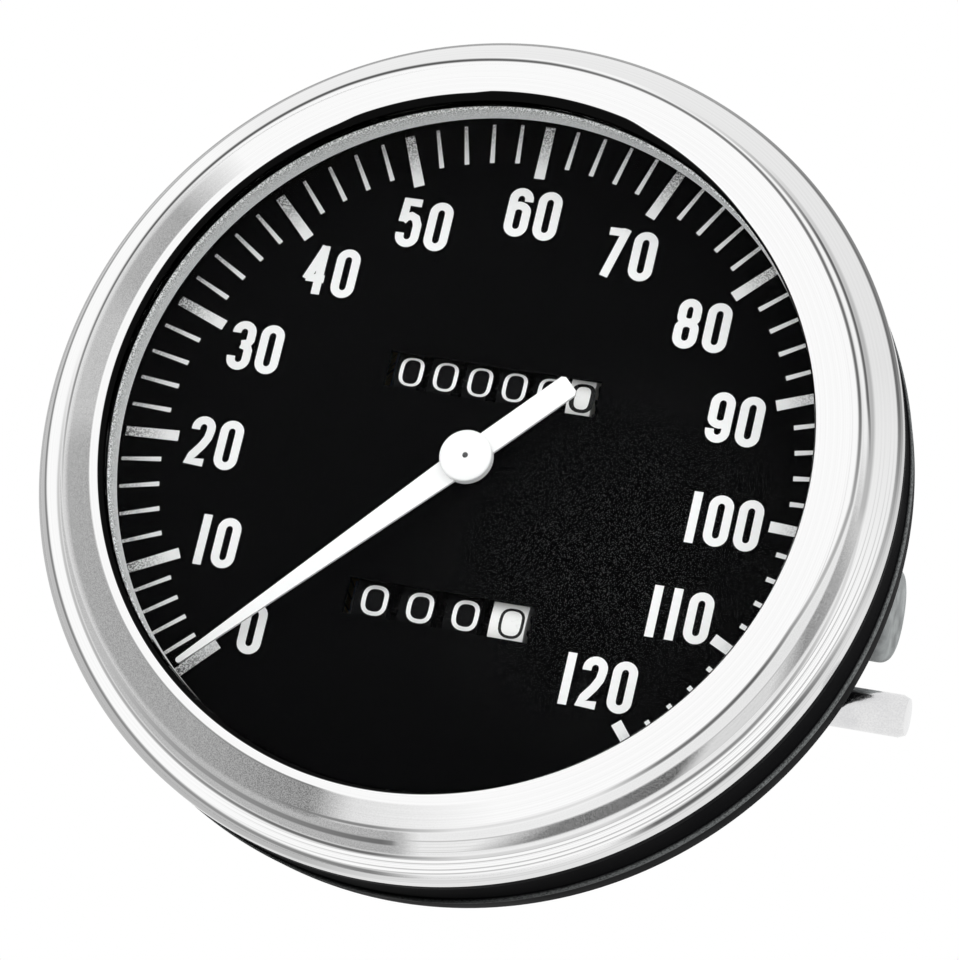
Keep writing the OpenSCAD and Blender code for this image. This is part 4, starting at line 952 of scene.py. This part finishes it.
clear_glass, shader, spot = begin_finish("clear_flat_glass")
fill(shader, {
    "Base Color": (0.995, 1.0, 0.998, 1.0), "Specular Tint": (0.02, 0.02, 0.02, 1.0),
    "Transmission Weight": 1.0, "IOR": 1.45,
    "Roughness": between(grain(spot, 40.0), 0.3, 0.7, 0.0, 0.004)})
raised(shader, grain(spot, 9.0, 1.0), 2e-6, 0.2)
ray = put(shader.id_data, "ShaderNodeLightPath").outputs
scattered = reckon("MAXIMUM", ray["Is Shadow Ray"], ray["Is Diffuse Ray"])
mirrored_once = reckon("GREATER_THAN", ray["Glossy Depth"], 0.5)
let_through(shader, reckon("MAXIMUM", scattered, mirrored_once), (0.995, 0.998, 0.997))
lens = spun("flat_glass", [
    (0, LENS_Z), (LENS_R - 0.2, LENS_Z), (LENS_R, LENS_Z + 0.2),
    (LENS_R, LENS_TOP - 0.2), (LENS_R - 0.2, LENS_TOP), (0, LENS_TOP),
], clear_glass, open_ends=True)
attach(lens, "case")
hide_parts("lens")
dressed(rubber_finish("black_seal_rubber", grey(0.008), grey(0.004), 0.7), "lens_seal")

# BEZEL
# Spun from stainless sheet over a former and rolled round the case's flange: a rounded lip, a broad band, a
# step groove, a second band and a skirt. It is polished, but dull at the lower left. Reflections and shade
# are
# painted into its colour: darker at the lower left, in the groove, in dark lines along the bands and edges
# and on the skirt, and black inside the lip. Its rolled back edge is dipped in the case's black enamel.
GROOVE_R = BEZEL_R - 3.75
MOUTH_LIP_R = LIP_R - 0.8
ROLL_R = 0.95
EDGE_Z = 56.0
ROLLED_Z = FLANGE_Z - 0.9
bezel_steel, shader, spot = begin_finish("polished_bezel_steel")
radius = from_axis(spot)
share = round_share(spot)


def past(ring, soft):
    """Whether a place lies outside a ring, growing over some millimetres."""
    return between(reckon("SUBTRACT", radius, ring), 0.0, soft / 1000)


def ring_at(*points):
    """A radius that wanders round the bezel, given in degrees and millimetres."""
    least, most = 52, 64
    shares = [(degrees, (r - least) / (most - least)) for degrees, r in points]
    return between(by_angle(share, *shares), 0.0, 1.0, least / 1000, most / 1000)


def streak(ring, half, *shades):
    """A soft dark line painted along a ring as a painted reflection, with its half width in millimetres and
    its shade round the bezel.
    """
    off = reckon("ABSOLUTE", reckon("SUBTRACT", radius, ring))
    return times(between(off, half / 2500, half / 750, 1.0, 0.0), by_angle(share, *shades))


step_in = ring_at(
    (0, 58.0), (35, 58.1), (60, 58.6), (90, 59.4), (120, 59.7), (150, 59.4), (195, 58.75), (255, 57.35),
    (290, 57.1), (340, 56.95))
step_out = ring_at(
    (0, 59.7), (15, 59.1), (60, 59.3), (90, 59.8), (150, 59.8), (190, 59.4), (225, 59.95), (270, 60.6),
    (325, 60.75), (348, 60.3))
edge = ring_at(
    (0, 63.15), (30, 63.05), (80, 63.0), (120, 62.7), (150, 62.3), (200, 61.8), (225, 62.1), (275, 62.85),
    (300, 63.2), (330, 62.8))
turned_marks = turned_rings(radius, 4200.0, 3.0)
flecks = between(grain(spot, 7000.0, 1.0), 0.38, 0.62)
inside_step = reckon("SUBTRACT", step_out, radius)
in_step = reckon("MINIMUM", reckon("SUBTRACT", radius, step_in), inside_step)
# Painted shade and reflection: the step groove painted darker, most at the lower left and bottom.
step_painted_shade = times(between(in_step, 0.0, 0.0004), by_angle(
    share, (0, 0.15), (25, 0.05), (180, 0.05), (195, 0.45), (250, 0.52), (275, 0.58), (278, 0.15),
    (300, 0.12), (340, 0.2)))
fine_lines = times(between(turned_marks, 0.5, 0.66), past(0.0566, 0.8))
cove = times(past(0.0582, 0.3), between(radius, 0.0598, 0.0601, 1.0, 0.0))
swept = reckon("ADD", share, between(radius, 0.0582, 0.0600, -0.008, 0.008), clamp=True)
# Painted reflection: the cove under the step painted dark at the lower right.
cove_painted_shade = times(cove, by_angle(
    swept, (0, 0.35), (12, 0.0), (283, 0.0), (296, 0.8), (315, 0.85), (320, 0.3), (332, 0.3),
    (340, 0.7), (350, 0.6)))
# Dull at the lower left: rougher there, and painted darker there as a painted reflection.
dull_round = by_angle(
    share, (0, 0.0), (138, 0.0), (150, 0.62), (163, 0.58), (170, 0.48), (185, 0.46), (190, 0.6),
    (240, 0.64), (262, 0.74), (268, 0.24), (290, 0.0))
dull_band = times(past(0.0538, 0.2), between(radius, 0.0576, 0.0586, 1.0, 0.45))
dull = times(times(dull_round, dull_band), between(inside_step, 0.0, 0.0003))
# Painted shade: black inside the lip's rounding, out to a radius that wanders round the bezel.
lip_painted_shade = ring_at(
    (0, 52.0), (48, 52.1), (70, 52.95), (74, 53.35), (97, 53.3), (100, 53.05), (119, 53.05), (122, 52.8),
    (180, 52.72), (258, 52.66), (272, 52.5), (286, 52.25), (304, 52.0))
inside_lip = between(reckon("SUBTRACT", lip_painted_shade, radius), 0.0, 0.00008)
coarse = between(flecks, 0.0, 1.0, 0.85, 1.1)
dark = times(dull, between(flecks, 0.0, 1.0, 0.8, 1.1))
# Painted reflections and shade darken the polished colour: dark lines along the groove and edge, a darker
# skirt and second band, and the real turning lines painted darker at the lower right.
for patch in (
        times(step_painted_shade, coarse),
        times(cove_painted_shade, coarse),
        streak(step_in, 0.26, (0, 0.6), (15, 0.85), (80, 0.82), (105, 0.9), (155, 0.88), (182, 0.7),
               (198, 0.3), (248, 0.1), (258, 0.75), (272, 0.75), (284, 0.2), (304, 0.2), (314, 0.8),
               (332, 0.88), (346, 0.5)),
        streak(step_out, 0.26, (0, 0.3), (15, 0.85), (40, 0.88), (62, 0.3), (80, 0.0), (172, 0.0),
               (190, 0.35), (235, 0.6), (258, 0.85), (272, 0.85), (284, 0.3), (304, 0.3), (314, 0.75),
               (330, 0.7), (345, 0.3)),
        streak(0.0589, 0.55, (0, 0.0), (205, 0.0), (216, 0.4), (240, 0.66), (274, 0.85), (277, 0.0)),
        streak(0.0595, 0.6, (0, 0.5), (25, 0.5), (50, 0.3), (62, 0.0), (345, 0.0)),
        streak(edge, 0.3, (0, 0.6), (15, 0.85), (48, 0.8), (70, 0.6), (140, 0.66), (165, 0.78), (205, 0.78),
               (250, 0.7), (272, 0.78), (279, 0.2), (303, 0.15), (309, 0.85), (332, 0.85), (345, 0.4)),
        times(past(edge, 0.2), by_angle(
            share, (0, 0.5), (20, 0.8), (52, 0.75), (75, 0.62), (130, 0.62), (150, 0.5), (262, 0.5),
            (275, 0.25), (345, 0.25))),
        times(past(step_out, 0.2), by_angle(
            share, (0, 0.12), (20, 0.2), (60, 0.16), (132, 0.1), (142, 0.0), (345, 0.0))),
        streak(0.05395, 0.16, (0, 0.0), (190, 0.0), (215, 0.55), (262, 0.8), (266, 0.0)),
        times(fine_lines, by_angle(
            share, (0, 0.25), (20, 0.1), (45, 0.0), (245, 0.0), (275, 0.42), (345, 0.42))),
        times(inside_lip, 0.995)):
    dark = reckon("MAXIMUM", dark, patch)
polished = tinted(between(turned_marks, 0.35, 0.65), grey(0.97), grey(0.93))
fill(shader, {
    "Base Color": tinted(dark, polished, grey(0.0)),
    "Roughness": between(dull, 0.0, 0.7, 0.13, 0.34),
    "Metallic": 1.0})
raised(shader, turned_marks, 1.5e-6, 0.3)


def crown(start, end, rise, steps=12):
    """Points of a shallow crown between two points."""
    dx, dy = end[0] - start[0], end[1] - start[1]
    long = math.hypot(dx, dy)
    points = []
    for s in [i / steps for i in range(steps + 1)]:
        lift = rise * 4 * s * (1 - s)
        points.append((start[0] + dx * s - dy / long * lift, start[1] + dy * s + dx / long * lift))
    return points


broad_band = crown((LIP_R + 1.3, LIP_Z + 1.1), (GROOVE_R - 1.3, LIP_Z - 1.35), 0.35)
second_band = crown((GROOVE_R + 0.1, LIP_Z - 1.95), (BEZEL_R - 0.75, LIP_Z - 4.1), 0.25)
step_groove = [(GROOVE_R - inwards, LIP_Z - down) for inwards, down in (
    (1.02, 1.62), (0.72, 1.83), (0.4, 1.96), (0.12, 1.98))]
bezel = spun("spun_bezel", [
    *arc((MOUTH_LIP_R + ROLL_R, LIP_Z + 0.12), ROLL_R, 180, 100, 8), (LIP_R + 0.8, LIP_Z + 1.08),
    *broad_band, *step_groove, *second_band,
    (BEZEL_R - 0.6, LIP_Z - 4.3), (BEZEL_R - 0.56, LIP_Z - 4.5),
    *arc((BEZEL_R - 0.9, LIP_Z - 5.3), 0.9, 52, 0, 6), (BEZEL_R, EDGE_Z), (BEZEL_R - 0.03, EDGE_Z - 0.03),
    (BEZEL_R - 0.03, EDGE_Z - 0.9), *arc((BEZEL_R - 0.6, ROLLED_Z - 0.2), 0.57, 0, -90, 6),
    (MOUTH_R + 0.12, ROLLED_Z - 0.77), (MOUTH_R + 0.12, ROLLED_Z), (BEZEL_R - 0.8, ROLLED_Z),
    (BEZEL_R - 0.8, LIP_Z - 5.3), (BEZEL_R - 1.7, LIP_Z - 4.6), (GROOVE_R + 0.1, LIP_Z - 3.1),
    (GROOVE_R - 1.3, LIP_Z - 2.5), (LENS_R, LIP_Z - 0.15), (LENS_R - 0.3, LIP_Z), (MOUTH_LIP_R, LIP_Z),
], bezel_steel, steps=320)
bezel.data.materials.append(case_enamel)
for face in bezel.data.polygons:
    if -face.center.y * 1000 < EDGE_Z:
        face.material_index = 1
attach(bezel, "case")
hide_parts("bezel")

# FLOOR, SKY AND LAMPS
# A plain pale floor just under the bezel, a white surround and two soft lamps. From below the floor is clear,
# because the photograph's viewpoint is lower than the object.
FLOOR_Z = -0.0637
FLOOR_HALF = 4.0
corners = [(x * FLOOR_HALF, y * FLOOR_HALF, FLOOR_Z) for x, y in ((-1, -1), (1, -1), (1, 1), (-1, 1))]
floor_mesh = bpy.data.meshes.new("pale_floor")
floor_mesh.from_pydata(corners, [], [(0, 1, 2, 3)])
floor_paint, shader, spot = begin_finish("pale_floor_paint")
fill(shader, {
    "Base Color": tinted(grain(spot, 14.0), grey(0.86), grey(0.90)),
    "Roughness": 0.8, "Specular IOR Level": 0.1})
below = put(shader.id_data, "ShaderNodeNewGeometry").outputs["Backfacing"]
glossy = put(shader.id_data, "ShaderNodeLightPath").outputs["Is Glossy Ray"]
let_through(shader, reckon("MAXIMUM", below, glossy), grey(1.0))
floor_mesh.materials.append(floor_paint)
floor = made("pale_floor", floor_mesh)

sky = bpy.data.worlds.new("white_surround")
bpy.context.scene.world = sky
sky.use_nodes = True
tree = sky.node_tree
tree.nodes.clear()
ray = put(tree, "ShaderNodeLightPath").outputs
seen, lighting = (put(tree, "ShaderNodeBackground", {"Color": (*grey(1.0), 1.0), "Strength": strength})
                  for strength in (1.0, 0.95))
looking = reckon("MAXIMUM", ray["Is Camera Ray"], ray["Is Transmission Ray"])
looking = reckon("MAXIMUM", looking, ray["Is Glossy Ray"])
surround = put(tree, "ShaderNodeMixShader", {0: looking, 1: lighting, 2: seen})
put(tree, "ShaderNodeOutputWorld", {"Surface": surround})

for name, place, size, power in (
        ("soft_key", (0.9, -1.3, 1.1), 1.1, 8.0), ("soft_fill", (-1.3, -0.7, 0.5), 1.2, 4.0)):
    lamp = made(name, bpy.data.lights.new(name, "AREA"))
    lamp.data.size = size
    lamp.data.energy = power
    lamp.location = place
    lamp.rotation_euler = (-Vector(place)).to_track_quat("-Z", "Y").to_euler()
    lamp.visible_glossy = False

bpy.context.scene.view_settings.view_transform = "Standard"
